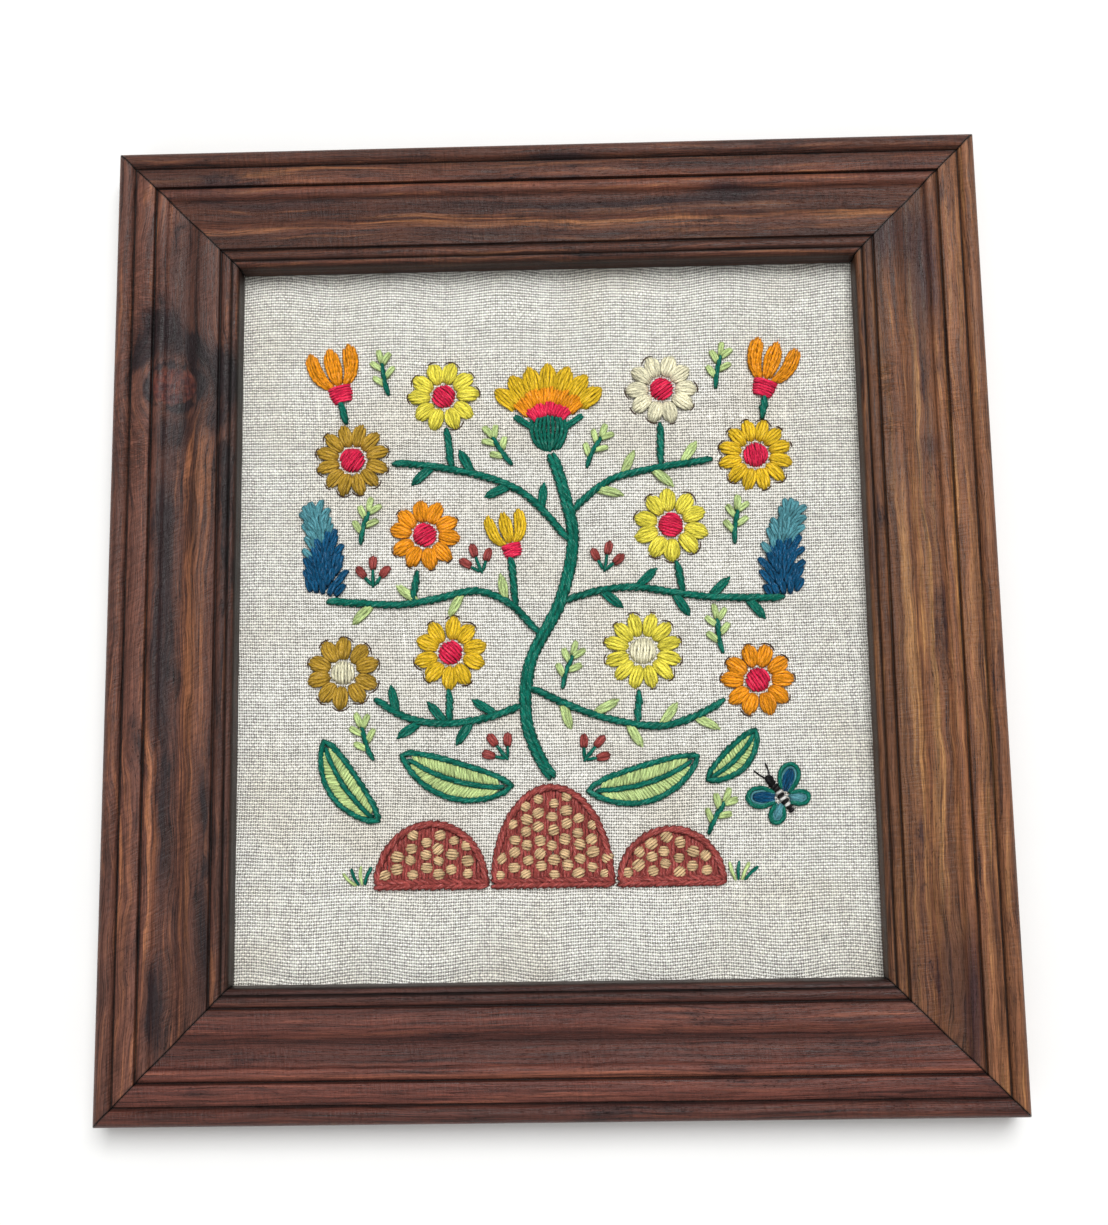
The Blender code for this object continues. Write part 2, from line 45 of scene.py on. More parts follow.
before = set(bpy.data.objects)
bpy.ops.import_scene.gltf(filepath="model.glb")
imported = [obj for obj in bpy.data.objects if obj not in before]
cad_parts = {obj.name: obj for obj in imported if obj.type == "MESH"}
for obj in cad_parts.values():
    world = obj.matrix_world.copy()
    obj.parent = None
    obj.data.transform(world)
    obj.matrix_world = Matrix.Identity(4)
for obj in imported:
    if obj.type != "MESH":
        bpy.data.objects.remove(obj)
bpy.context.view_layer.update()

MM = 0.001

# The frame
OUTER_WIDTH = 312 * MM
OUTER_HEIGHT = 344 * MM
FACE = 45 * MM  # the moulding's width
RABBET_WIDTH = 6 * MM
RABBET_DEPTH = 8 * MM  # the lip's underside, above the back
MITRE_GAP = 0.15 * MM
GROOVES = (6.5, 14.4, 38.4, 42.5)  # in from the outer edge, in mm
GROOVE_HALF = 0.55  # in mm
# Stops across the moulding, in mm in from the outer edge, for each rail's levels of stain with painted
# highlight and shade
STAIN_AND_SHADE_STOPS = (3.5, 10, 17, 22, 27.5, 31.5, 35.5, 40.5, 44)
RAIL_STATIONS = 49
SANDING = 0.05 * MM  # how uneven the sanding left the moulding
SANDED_ABOVE = 13 * MM  # heights above the back that were sanded
UNEVEN_SCALE = (30, 90)  # along a rail and across it
SHARP_ANGLE = 38  # degrees from which an edge of the moulding is sharp

# Each rail: its length, its turn in degrees and how far out its outer edge is
RAILS = {
    "rail_bottom": (OUTER_WIDTH, 0, OUTER_HEIGHT / 2),
    "rail_right": (OUTER_HEIGHT, 90, OUTER_WIDTH / 2),
    "rail_top": (OUTER_WIDTH, 180, OUTER_HEIGHT / 2),
    "rail_left": (OUTER_HEIGHT, 270, OUTER_WIDTH / 2),
}

# The linen, as the solids have it
LINEN_PLAY = 0.5 * MM
LINEN_GAP = 0.3 * MM
LINEN_CELLS = (116, 132)
LINEN_SWELL = 0.7 * MM
SWELL_LEAN = 0.4
SWELL_PITCH = (390 * MM, 346 * MM)
SWELL_SHIFT = (0.7, 0.4)
RIPPLE = 0.5 * MM
RIPPLE_PITCH = 41 * MM
RIPPLE_SHIFT = 0.9
RIPPLE_REACH = 9 * MM
RIPPLE_START = 3 * MM
PULL = 1.1 * MM  # how far the ripples pull the threads at the edges
PULL_REACH = 24 * MM
THREAD_BOW = 1.8 * MM  # how far the level threads bow
THREAD_SWAY = (1.6 * MM, 0.5 * MM)  # how far the upright threads sway, in long waves and in short

# The wool
STRAND = 1.42  # a strand's width, in mm
SINK = 0.45  # how far a stitch's ends go down into the linen, in mm
STITCH_SHARES = (0, 0.07, 0.24, 0.5, 0.76, 0.93, 1)
CARRY = (1.0, 16)  # how far a thread is carried across the back to its next stitch, in mm
CARRY_GAP = 0.42  # from the linen's back to the middle of such a thread, in mm
WOOLS = {
    "lemon": (0.90, 0.79, 0.078),
    "golden": (0.89, 0.575, 0.020),
    "bronze": (0.51, 0.305, 0.030),
    "orange": (0.95, 0.345, 0.008),
    "cream": (0.95, 0.90, 0.635),
    "crimson": (0.86, 0.020, 0.088),
    "teal": (0.001, 0.165, 0.112),
    "leaf": (0.58, 0.74, 0.30),
    "blue": (0.001, 0.086, 0.200),
    "steel": (0.097, 0.318, 0.37),
    "rust": (0.355, 0.066, 0.057),
    "tan": (0.84, 0.58, 0.315),
    "black": (0.006, 0.006, 0.007),
    "white": (0.90, 0.89, 0.85),
    "print": (0.085, 0.042, 0.022),
}

# name, kind, wool, x, y, radius, turn, wool of the centre
MOTIFS = (
    ("carnation_top", "carnation", "golden", 0, 65, 27, 90, "crimson"),
    ("blossom_lemon_top", "blossom", "lemon", -38, 80, 13.5, 20, "crimson"),
    ("blossom_cream_top", "blossom", "cream", 41, 81, 13.5, 55, "crimson"),
    ("roundel_bronze_left", "roundel", "bronze", -71, 57, 14, 0, "crimson"),
    ("roundel_golden_right", "roundel", "golden", 74, 56, 14, 0, "crimson"),
    ("blossom_orange_left", "blossom", "orange", -45, 29, 13.5, 10, "crimson"),
    ("blossom_lemon_right", "blossom", "lemon", 43, 31, 14, 40, "crimson"),
    ("tulip_orange_left", "tulip", "orange", -77, 88, 12, 105, "crimson"),
    ("tulip_orange_right", "tulip", "orange", 80, 87, 12, 72, "crimson"),
    ("tulip_golden_mid", "tulip", "golden", -15, 28, 9.5, 104, "crimson"),
    ("blossom_golden_low", "blossom", "golden", -36, -13.5, 13.5, 68, "crimson"),
    ("roundel_lemon_low", "roundel", "lemon", 32, -14, 14.5, 0, "cream"),
    ("blossom_bronze_left", "blossom", "bronze", -74, -20, 13.5, 33, "cream"),
    ("blossom_orange_low", "blossom", "orange", 72, -25, 13.5, 90, "crimson"),
    ("butterfly", "butterfly", "teal", 79, -66, 13, 125, "blue"),
)

# name, x, y, half length, half width, turn, bend, wool
BLADES = (
    ("leaf_low_left", -34, -55, 20, 7.0, 163, 3.5, "leaf"),
    ("leaf_low_right", 31, -57, 20, 7.0, 16, -3.5, "leaf"),
    ("leaf_far_left", -71, -58, 17, 6.0, 124, 3.0, "leaf"),
    ("leaf_far_right", 62, -51, 12, 4.6, 44, -2.0, "leaf"),
    ("spike_blue_left", -84, 25, 17, 6.8, 99, -2.5, "blue"),
    ("spike_blue_right", 85, 22, 17, 6.8, 81, 2.5, "blue"),
)

MOUND_FOOT = -95  # y of the hillocks' lower edge

# name, x, half width, height
MOUNDS = (
    ("mound_left", -43, 20, 23),
    ("mound_centre", -1, 21.4, 35),
    ("mound_right", 40, 19, 20),
)

DOT_PITCH = 4.7  # between the dots of a column
COLUMN_PITCH = 5.0  # about the distance between two columns of dots
COLUMN_MARGIN = 1.0  # from a hillock's side to its first column
LANES = 4  # rows of laid wool to a column
RUN = 8.5  # about the length of a laid stitch

TRUNK = ((-1, -58), (-9, -40), (-8, -18), (3, 4), (8, 26), (5, 44), (1, 57.5))
LEAFLET = (5.2, 1.7)  # half length and half width
LEAFLET_LEAN = 48  # degrees from the stem's heading
PALE_LEAVED = ("stem_mid_left", "stem_low_right", "stem_high_right")
STEM_STOPS = {"tulip": 0.74, "carnation": 0.22, "blossom": 0.90, "roundel": 0.97}  # of a radius
BLADE_STOP = 0.3  # how far from a leaf's or spike's foot its stem stops

# name, the piece it ends at, how many leaflets, and its way there
STEMS = (
    ("stem_low_left", "blossom_bronze_left", 5, ((-9, -32), (-30, -38), (-52, -36), (-74, -20))),
    ("stem_low_right", "blossom_orange_low", 5, ((-8, -26), (14, -36), (42, -40), (72, -25))),
    ("stem_mid_left", "spike_blue_left", 4, ((-4, -8), (-22, 8), (-52, 4), (-82, 6))),
    ("stem_mid_right", "spike_blue_right", 5, ((3, 4), (26, 9), (54, 5), (83, 4))),
    ("stem_high_left", "roundel_bronze_left", 4, ((8, 24), (-10, 44), (-36, 53), (-71, 57))),
    ("stem_high_right", "roundel_golden_right", 4, ((7, 36), (22, 48), (46, 53), (74, 56))),
)

# name, the stem or flower it leaves, its share along a stem, and the piece it ends at
TWIGS = (
    ("twig_golden_low", "stem_low_left", 0.40, "blossom_golden_low"),
    ("twig_lemon_low", "stem_low_right", 0.46, "roundel_lemon_low"),
    ("twig_orange_left", "stem_mid_left", 0.62, "blossom_orange_left"),
    ("twig_tulip_mid", "stem_mid_left", 0.15, "tulip_golden_mid"),
    ("twig_lemon_right", "stem_mid_right", 0.55, "blossom_lemon_right"),
    ("twig_lemon_top", "stem_high_left", 0.60, "blossom_lemon_top"),
    ("twig_cream_top", "stem_high_right", 0.52, "blossom_cream_top"),
    ("twig_tulip_left", "roundel_bronze_left", 0, "tulip_orange_left"),
    ("twig_tulip_right", "roundel_golden_right", 0, "tulip_orange_right"),
)

# x, y and turn of each one's middle
SPRIGS = (
    (17, 60, 62), (-18, 61, 122), (66.5, 32, 82), (-59.5, 89, 100), (62, 89, 78),
    (-66, -43, 108), (59, -7, 96), (-66, 34, 74), (57, -71, 60), (6, -19, 70),
)
BERRIES = ((20, 20, 78), (-26.5, 20, 110), (14, -48, 50), (-19.5, -47, 128), (-63.5, 16, 90))
TUFTS = ((-67.5, -94, 104), (63.5, -94, 76))
SPRIG_LEAVES = ((-4.5, 46), (-2.0, -46), (1.0, 42), (3.0, -40), (3.6, 4))  # place on the stalk, lean
BERRY_STALKS = ((-38, 4.6), (0, 6.4), (38, 4.6))  # lean, length
TUFT_LEANS = (-34, -12, 12, 34)

# The stage
FLOOR_HALF = 3.0
FLOOR_DROP = 0.2 * MM
SENSOR = 36  # the camera sensor's width in mm
CLIP = (0.01, 20)
CAMERA_PLACE = (10.31 * MM, -68.63 * MM, 499.3 * MM)
CAMERA_RIGHT = (0.99965, -0.01566, -0.02150)
CAMERA_AHEAD = (-0.01912, 0.13864, -0.99016)
LIGHTS = {"key": (1.9, (0.56, 1.45, 3.2)), "fill": (1.2, (-0.4, -0.9, 0.9))}  # size and place


# Settings


def tint_setting(name, description, default):
    return FloatVectorProperty(
        name=name, description=description, subtype="COLOR", default=default, min=0, max=1
    )


def share_setting(name, description, default):
    return FloatProperty(
        name=name, description=description, subtype="FACTOR", default=default, min=0, max=1
    )


def length_setting(name, description, default):
    return FloatProperty(
        name=name, description=description, default=default, unit="LENGTH", precision=5
    )


class FrameSettings(bpy.types.PropertyGroup):
    bottom: tint_setting("Bottom stain", "Stain of the bottom rail", (0.122, 0.036, 0.025))
    left: tint_setting("Left stain", "Stain of the left rail", (0.118, 0.046, 0.031))
    right: tint_setting("Right stain", "Stain of the right rail", (0.225, 0.088, 0.039))
    top: tint_setting("Top stain", "Stain of the top rail", (0.112, 0.036, 0.020))
    gloss: share_setting("Roughness", "Roughness of the satin finish", 0.45)


class LinenSettings(bpy.types.PropertyGroup):
    thickness: length_setting("Thickness", "Thickness of the cloth", 0.6 * MM)
    warp_pitch: length_setting("Warp pitch", "Distance between upright threads", 0.82 * MM)
    weft_pitch: length_setting("Weft pitch", "Distance between level threads", 1.05 * MM)
    colour: tint_setting("Linen", "Colour of the linen thread", (0.905, 0.89, 0.83))
    aged: tint_setting("Aged linen", "Colour of the linen where it has yellowed", (0.85, 0.81, 0.715))
    # Painted shade in the gaps between the threads
    hole: tint_setting("Holes", "Colour between the threads", (0.120, 0.110, 0.090))


class WoolSettings(bpy.types.PropertyGroup):
    sides: IntProperty(name="Sides", description="Sides of a strand's section", default=8, min=3)
    steps: IntProperty(name="Steps", description="Points along a strand", default=8, min=3)
    twist: length_setting("Twist", "Length of one turn of the two plies", 13 * MM)
    ply: share_setting("Ply depth", "Depth of the groove between the plies", 0.16)
    flat: share_setting("Flatness", "Height of a strand as a share of its width", 0.80)
    hairiness: share_setting("Sheen", "Weight of the wool's soft sheen", 0.14)
    fuzz: FloatProperty(
        name="Fuzz", description="Loose hairs on each square metre of a strand", default=6.5e5,
        min=0,
    )
    hair: length_setting("Hair length", "Length of a loose hair", 1.3 * MM)
    for wool, tone in WOOLS.items():
        __annotations__[wool] = tint_setting(wool.capitalize(), f"Colour of the {wool} wool", tone)
    del wool, tone


class StageSettings(bpy.types.PropertyGroup):
    floor: tint_setting("Floor", "Colour of the floor", (0.90, 0.90, 0.89))
    key: FloatProperty(name="Key light", description="Power of the soft light above", default=116.0)
    fill: FloatProperty(name="Fill light", description="Power of the light at the foot", default=3.0)
    sky: FloatProperty(name="Room light", description="Strength of the light all round", default=0.34)
    lens: FloatProperty(name="Lens", description="Focal length of the camera in mm", default=41.17)


# Node trees


class Wire:
    """One output of a node. Python's arithmetic on it adds Math nodes."""

    def __init__(self, tree, socket):
        self.tree = tree
        self.socket = socket

    def __add__(self, other):
        return self.tree.math("ADD", self, other)

    def __sub__(self, other):
        return self.tree.math("SUBTRACT", self, other)

    def __rsub__(self, other):
        return self.tree.math("SUBTRACT", other, self)

    def __mul__(self, other):
        return self.tree.math("MULTIPLY", self, other)

    def __truediv__(self, other):
        return self.tree.math("DIVIDE", self, other)

    def __pow__(self, other):
        return self.tree.math("POWER", self, other)

    __radd__ = __add__
    __rmul__ = __mul__


class Tree:
    """Adds nodes to a material's tree or a modifier's."""

    def __init__(self, tree):
        self.tree = tree

    def node(self, kind, settings=None, inputs=None, output=0):
        made = self.tree.nodes.new(kind)
        for name, value in (settings or {}).items():
            if name == "stops":
                ramp = made.color_ramp
                while len(ramp.elements) < len(value):
                    ramp.elements.new(1)
                for element, (position, colour) in zip(ramp.elements, value):
                    element.position = position
                    element.color = (*colour, 1)
            else:
                setattr(made, name, value)
        for name, value in (inputs or {}).items():
            if isinstance(value, Wire):
                self.tree.links.new(value.socket, made.inputs[name])
            else:
                made.inputs[name].default_value = value
        return Wire(self, made.outputs[output])

    def outputs(self, wire, *names):
        return [Wire(self, wire.socket.node.outputs[name]) for name in names]

    def math(self, operation, *values):
        return self.node("ShaderNodeMath", {"operation": operation}, dict(enumerate(values)))

    def vector(self, operation, *values):
        return self.node("ShaderNodeVectorMath", {"operation": operation}, dict(enumerate(values)))

    def bell(self, *offsets):
        """1 where all the offsets are 0, and less all round."""
        squares = [offset * offset for offset in offsets]
        return self.math("EXPONENT", sum(squares[1:], squares[0]) * -1.0)

    def joined(self, x, y, z):
        return self.node("ShaderNodeCombineXYZ", None, {"X": x, "Y": y, "Z": z})

    def parted(self, vector):
        made = self.node("ShaderNodeSeparateXYZ", None, {"Vector": vector})
        return self.outputs(made, "X", "Y", "Z")

    def noise(self, vector, scale, detail=2.0, rough=0.5, distortion=0.0):
        settings = {"noise_dimensions": "3D"}
        values = {"Vector": vector, "Scale": scale, "Detail": detail, "Roughness": rough}
        return self.node("ShaderNodeTexNoise", settings, {**values, "Distortion": distortion})

    def smooth(self, value, low, high, start=0.0, end=1.0):
        """start below low, end above high, and an even passage between them."""
        limits = {"From Min": low, "From Max": high, "To Min": start, "To Max": end}
        return self.node(
            "ShaderNodeMapRange", {"interpolation_type": "SMOOTHSTEP"}, {"Value": value, **limits}
        )

    def mix(self, share, first, second):
        """Between two colours."""
        first, second = [c if isinstance(c, Wire) else (*c, 1) for c in (first, second)]
        settings = {"data_type": "RGBA", "clamp_factor": True}
        return self.node("ShaderNodeMix", settings, {0: share, 6: first, 7: second}, 2)

    def shade(self, colour, by):
        """A colour or a vector times a number."""
        colour = colour if isinstance(colour, Wire) else self.joined(*colour)
        return self.node("ShaderNodeVectorMath", {"operation": "SCALE"}, {0: colour, "Scale": by})

    def bump(self, height, distance, strength=1.0):
        values = {"Height": height, "Distance": distance, "Strength": strength}
        return self.node("ShaderNodeBump", None, values)

    def one_of(self, value):
        """A fixed random number for each whole number."""
        return self.node("ShaderNodeTexWhiteNoise", {"noise_dimensions": "1D"}, {"W": value})

    def cell_of(self, x, y):
        """A fixed random number for each pair of whole numbers."""
        place = self.joined(x, y, 0.0)
        return self.node("ShaderNodeTexWhiteNoise", {"noise_dimensions": "2D"}, {"Vector": place})

    def random_vector(self, low, high, seed):
        """A fixed random vector for each point, between two others."""
        settings = {"data_type": "FLOAT_VECTOR"}
        return self.node("FunctionNodeRandomValue", settings, {0: low, 1: high, "Seed": seed})

    def stored(self, geometry, label, value, data_type="FLOAT"):
        """Geometry with one more attribute."""
        values = {"Geometry": geometry, "Name": label, "Value": value}
        return self.node("GeometryNodeStoreNamedAttribute", {"data_type": data_type}, values)

    def named(self, label, data_type="FLOAT"):
        """A geometry's attribute."""
        return self.node("GeometryNodeInputNamedAttribute", {"data_type": data_type}, {"Name": label})


def new_material(name):
    made = bpy.data.materials.new(name)
    made.use_nodes = True
    made.node_tree.nodes.clear()
    return made, Tree(made.node_tree)


def surface(tree, **values):
    """The shader and the output. Names are the shader's own, with _ for a space."""
    values = {name.replace("_", " "): value for name, value in values.items()}
    for name in ("Base Color", "Sheen Tint"):
        if name in values and not isinstance(values[name], Wire):
            values[name] = (*values[name], 1)
    made = tree.node("ShaderNodeBsdfPrincipled", None, values)
    out = tree.tree.nodes.new("ShaderNodeOutputMaterial")
    tree.tree.links.new(made.socket, out.inputs["Surface"])


# The frame's finish

WORN_PINE = (0.36, 0.20, 0.10)
RAW_PINE = ((0.50, 0.33, 0.17), (0.40, 0.23, 0.10))
KNOT_HEART = ((0.120, 0.034, 0.024), (0.045, 0.014, 0.016))

# What differs from rail to rail. pith: where the middle of the tree was, in from the
# outer edge and up from the back, in mm. ring: a year's growth. wander: how far the
# grain strays. The levels at the stops across the moulding: how strongly the stain shows,
# with painted highlight on the beads and painted shade in the coves and on slopes turned
# from the light. marks: (along, inward, half length, half width, strength), dark, or pale
# if the strength is negative; some long ones on the top and bottom rails are partly
# painted highlight and shade along the members. knots: (along, inward, half length, half width).
FIGURES = {
    "rail_top": {
        "pith": (30, -70), "ring": 2.6, "wander": 5.0, "shift": 3.0, "lean": 0.05,
        "pale": (0.32, 0.128, 0.050), "dark": (0.024, 0.009, 0.010),
        "depths": (0.72, 0.96, 1.52, 0.77, 0.56, 1.10, 0.64, 0.70, 0.98),
        "scrape": 0.36, "cuts": (),
        "marks": (
            # The pale marks at 30.5 and 31 in are partly ochre streaks, partly painted light on the
            # slope facing the light; the dark ones at 19 and 35.5 in are painted shade on slopes turned
            # from it; the one at 23.5 in is a purple streak with painted shade
            (-15, 23.5, 75, 2.0, 0.9), (-66, 21, 9, 4.5, 1.0), (30, 31, 60, 1.8, -0.5),
            (-112, 30, 13, 2.4, -1.0), (-50, 30.5, 50, 1.6, -0.5), (-5, 5.5, 14, 2.2, 1.0),
            (-75, 9, 30, 2.4, 0.6), (128, 14, 26, 8.0, 0.6), (100, 22, 30, 1.8, 0.6),
            (-128, 16, 20, 6.0, 0.45), (40, 19, 60, 1.5, 0.5), (30, 35.5, 38, 1.8, 0.5),
            (105, 12, 34, 3.0, -0.35),
        ),
        "knots": (),
    },
    "rail_bottom": {
        "pith": (-140, -30), "ring": 1.7, "wander": 2.6, "shift": 11.0, "lean": 0.10,
        "pale": (0.23, 0.078, 0.045), "dark": (0.030, 0.009, 0.009),
        "depths": (0.66, 1.08, 1.18, 0.72, 0.70, 0.98, 0.84, 0.46, 0.46),
        "scrape": 0.20, "cuts": (),
        "marks": (
            # The first mark is painted shade on the slope turned from the light, the second a painted
            # highlight along the bead
            (0, 27.5, 150, 2.2, 0.5), (20, 16.0, 120, 1.4, -0.6), (110, 34, 60, 4.0, -0.5),
            (-70, 22, 60, 2.0, 0.3), (30, 6.0, 60, 1.4, 0.5),
        ),
        "knots": (),
    },
    "rail_left": {
        "pith": (14, -55), "ring": 3.0, "wander": 7.0, "shift": 23.0, "lean": 0.55,
        "pale": (0.30, 0.115, 0.052), "dark": (0.012, 0.007, 0.009),
        "depths": (0.94, 1.07, 1.34, 0.94, 0.82, 0.74, 0.76, 0.84, 0.60),
        "scrape": 0.40, "cuts": ((-60, 9, 14, 6), (-112, 12, 18, 8)),
        "marks": (
            (136, 19.5, 15, 2.4, 1.0), (70, 20.5, 36, 2.0, 0.8), (12, 21, 34, 3.6, 0.85),
            (-32, 20.5, 22, 5.0, 1.0), (-66, 22, 9, 6.5, 0.8), (112, 36, 24, 3.2, 0.9),
            (66, 37, 14, 2.0, 0.9), (-42, 42, 18, 1.8, 1.0), (20, 43, 40, 1.2, 0.7),
            (-103, 18, 9, 7.5, 1.3), (-97, 29, 5, 3.6, 1.6), (-93, 13, 4, 3.0, 1.3),
            (-86, 38, 11, 6.5, 1.5), (-70, 36, 5, 4.0, 0.8), (-128, 24, 22, 12, 0.45),
            (0, 31, 44, 5.0, -0.9), (60, 17, 60, 1.6, -0.6), (88, 29, 26, 4.0, -0.4),
            (-50, 33, 16, 5.0, -0.9), (100, 9, 50, 2.4, -0.35),
        ),
        "knots": ((-83, 22.5, 7.6, 9.6),),
    },
    "rail_right": {
        "pith": (60, -60), "ring": 2.4, "wander": 5.0, "shift": 37.0, "lean": 0.08,
        "pale": (0.42, 0.20, 0.072), "dark": (0.040, 0.015, 0.017),
        "depths": (0.84, 0.94, 1.05, 0.73, 0.83, 0.83, 0.63, 0.54, 0.76),
        "scrape": 0.22, "cuts": ((80, 36, 8, 4.5), (63, 35, 4, 4.5), (70, 14, 6, 3)),
        "marks": (
            (-140, 18, 32, 3.4, 0.9), (-128, 26, 26, 7.0, 0.5), (122, 20, 30, 6.0, 0.8),
            (136, 33, 16, 9.0, 0.9), (56, 21, 6, 4.0, 0.6), (-10, 25.5, 120, 0.9, -1.0),
            (-40, 9.5, 80, 2.6, -0.5), (-20, 32, 60, 3.2, -0.7), (20, 16, 60, 2.0, -0.4),
            (-105, 9, 16, 2.0, 0.4),
        ),
        "knots": (),
    },
}


class Board:
    """A rail's own millimetres: along it, in from its outer edge and up from its back."""

    def __init__(self, tree, name):
        length, turn, reach = RAILS[name]
        self.tree = tree
        self.figure = FIGURES[name]
        self.shift = self.figure["shift"] * 10
        self.half_length = length / MM / 2
        where = tree.node("ShaderNodeTexCoord", output="Object")
        values = {"Vector": where, "Rotation": (0, 0, -math.radians(turn)), "Location": (0, reach, 0)}
        place = tree.shade(tree.node("ShaderNodeMapping", None, values), 1 / MM)
        self.along, self.inward, self.height = tree.parted(place)
        self.across = self.inward  # as inward, until the grain is bent

    def spread(self, long, wide, detail=3.0, rough=0.6):
        """Noise stretched along the grain; long and wide are its sizes in mm."""
        along = self.along / long + self.shift
        place = self.tree.joined(along, self.across / wide, self.height / wide)
        return self.tree.noise(place, 1.0, detail, rough)


def bend_grain(board):
    """Lets the grain stray, and go round the knots. Gives a ragged noise and the knots' parts."""
    t = board.tree
    drift = (board.spread(80, 28) - 0.5) * (2 * board.figure["wander"])
    ragged = (board.spread(7, 1.6, 4.0, 0.65) - 0.5) * 2.0
    heart = rim = 0.0
    for at, middle, half_long, half_wide in board.figure["knots"]:
        dx = (board.along - at) / half_long
        dy = (board.inward - middle) / half_wide
        away = t.math("SQRT", dx * dx + dy * dy) + ragged * 0.16
        drift = drift + dy * t.math("EXPONENT", away * away * -0.28) * -7.0
        broken = t.smooth(board.spread(9, 7, 3.0), 0.36, 0.58, 0.25, 1.0)
        rim = rim + t.bell((away - 1.0) / 0.24) * broken
        heart = heart + t.smooth(away, 0.75, 1.0, 1.0, 0.0)
    board.across = board.inward + drift
    return ragged, heart, rim


def year_rings(board, ragged):
    """The dark late wood that ends each year's growth."""
    t = board.tree
    pith_in, pith_up = board.figure["pith"]
    out_in = board.across - pith_in
    out_up = board.height - pith_up
    radial = t.math("SQRT", out_in * out_in + out_up * out_up) + ragged * 0.25
    ring = t.math("FRACT", radial / board.figure["ring"])
    return t.smooth(ring, 0.40, 0.92) * t.smooth(ring, 0.93, 1.0, 1.0, 0.0)


def smears(board, ragged, fibre, streak, blotch):
    """Where the stain came out pale and where dark, with the rail's own marks."""
    t = board.tree
    pale = t.smooth(streak, 0.50, 0.68) * 0.5 + t.smooth(blotch, 0.42, 0.30) * 0.3
    dark = t.smooth(blotch, 0.54, 0.72) * 0.6 + t.smooth(streak, 0.50, 0.34) * 0.45
    for at, middle, half_long, half_wide, strength in board.figure["marks"]:
        dx = (board.along - at + ragged * 4.0) / half_long
        dy = (board.across - middle + (streak - 0.5) * 7.0) / half_wide
        mark = t.bell(dx, dy) * abs(strength) * t.smooth(streak, 0.36, 0.60, 0.45, 1.25)
        if strength > 0:
            dark = dark + mark * (0.7 + fibre * 0.5)
        else:
            pale = pale + mark
    return pale, dark


def dark_lines(board):
    """The groove lines between the moulding's members, darker from pooled stain and painted shade, and
    the dark mitred joints.
    """
    t = board.tree
    groove_stain_and_shade = 0.0
    for at in GROOVES:
        groove_stain_and_shade = groove_stain_and_shade + t.bell((board.inward - at) / GROOVE_HALF)
    to_mitre = board.half_length - t.math("ABSOLUTE", board.along) - board.inward
    return groove_stain_and_shade, t.smooth(to_mitre, 0.15, 0.95, 1.0, 0.0)


def tool_marks(board):
    """The scraper's chatter along the rail, and the dents where it bit."""
    t = board.tree
    along, inward, shift = board.along, board.inward, board.shift
    slanted = t.joined((along + inward * board.figure["lean"]) * 0.95, inward * 0.16, shift)
    chatter = t.smooth(t.noise(slanted, 1.0, 2.0, 0.6), 0.35, 0.65) - 0.5
    patches = t.noise(t.joined(along / 30 + shift, inward / 9, 7.0), 1.0, 2.0)
    chatter = chatter * (0.35 + t.smooth(patches, 0.42, 0.62) * 0.65)
    wavy = t.joined(along * 0.85 + shift, inward * 0.20, 3.0)
    dents = t.smooth(t.noise(wavy, 1.0, 2.0, 0.6, 1.4), 0.44, 0.60) - 0.5
    bitten = 0.0
    for at, middle, half_long, half_wide in board.figure["cuts"]:
        bitten = bitten + t.bell((along - at) / half_long, (inward - middle) / half_wide)
    return chatter, dents * bitten


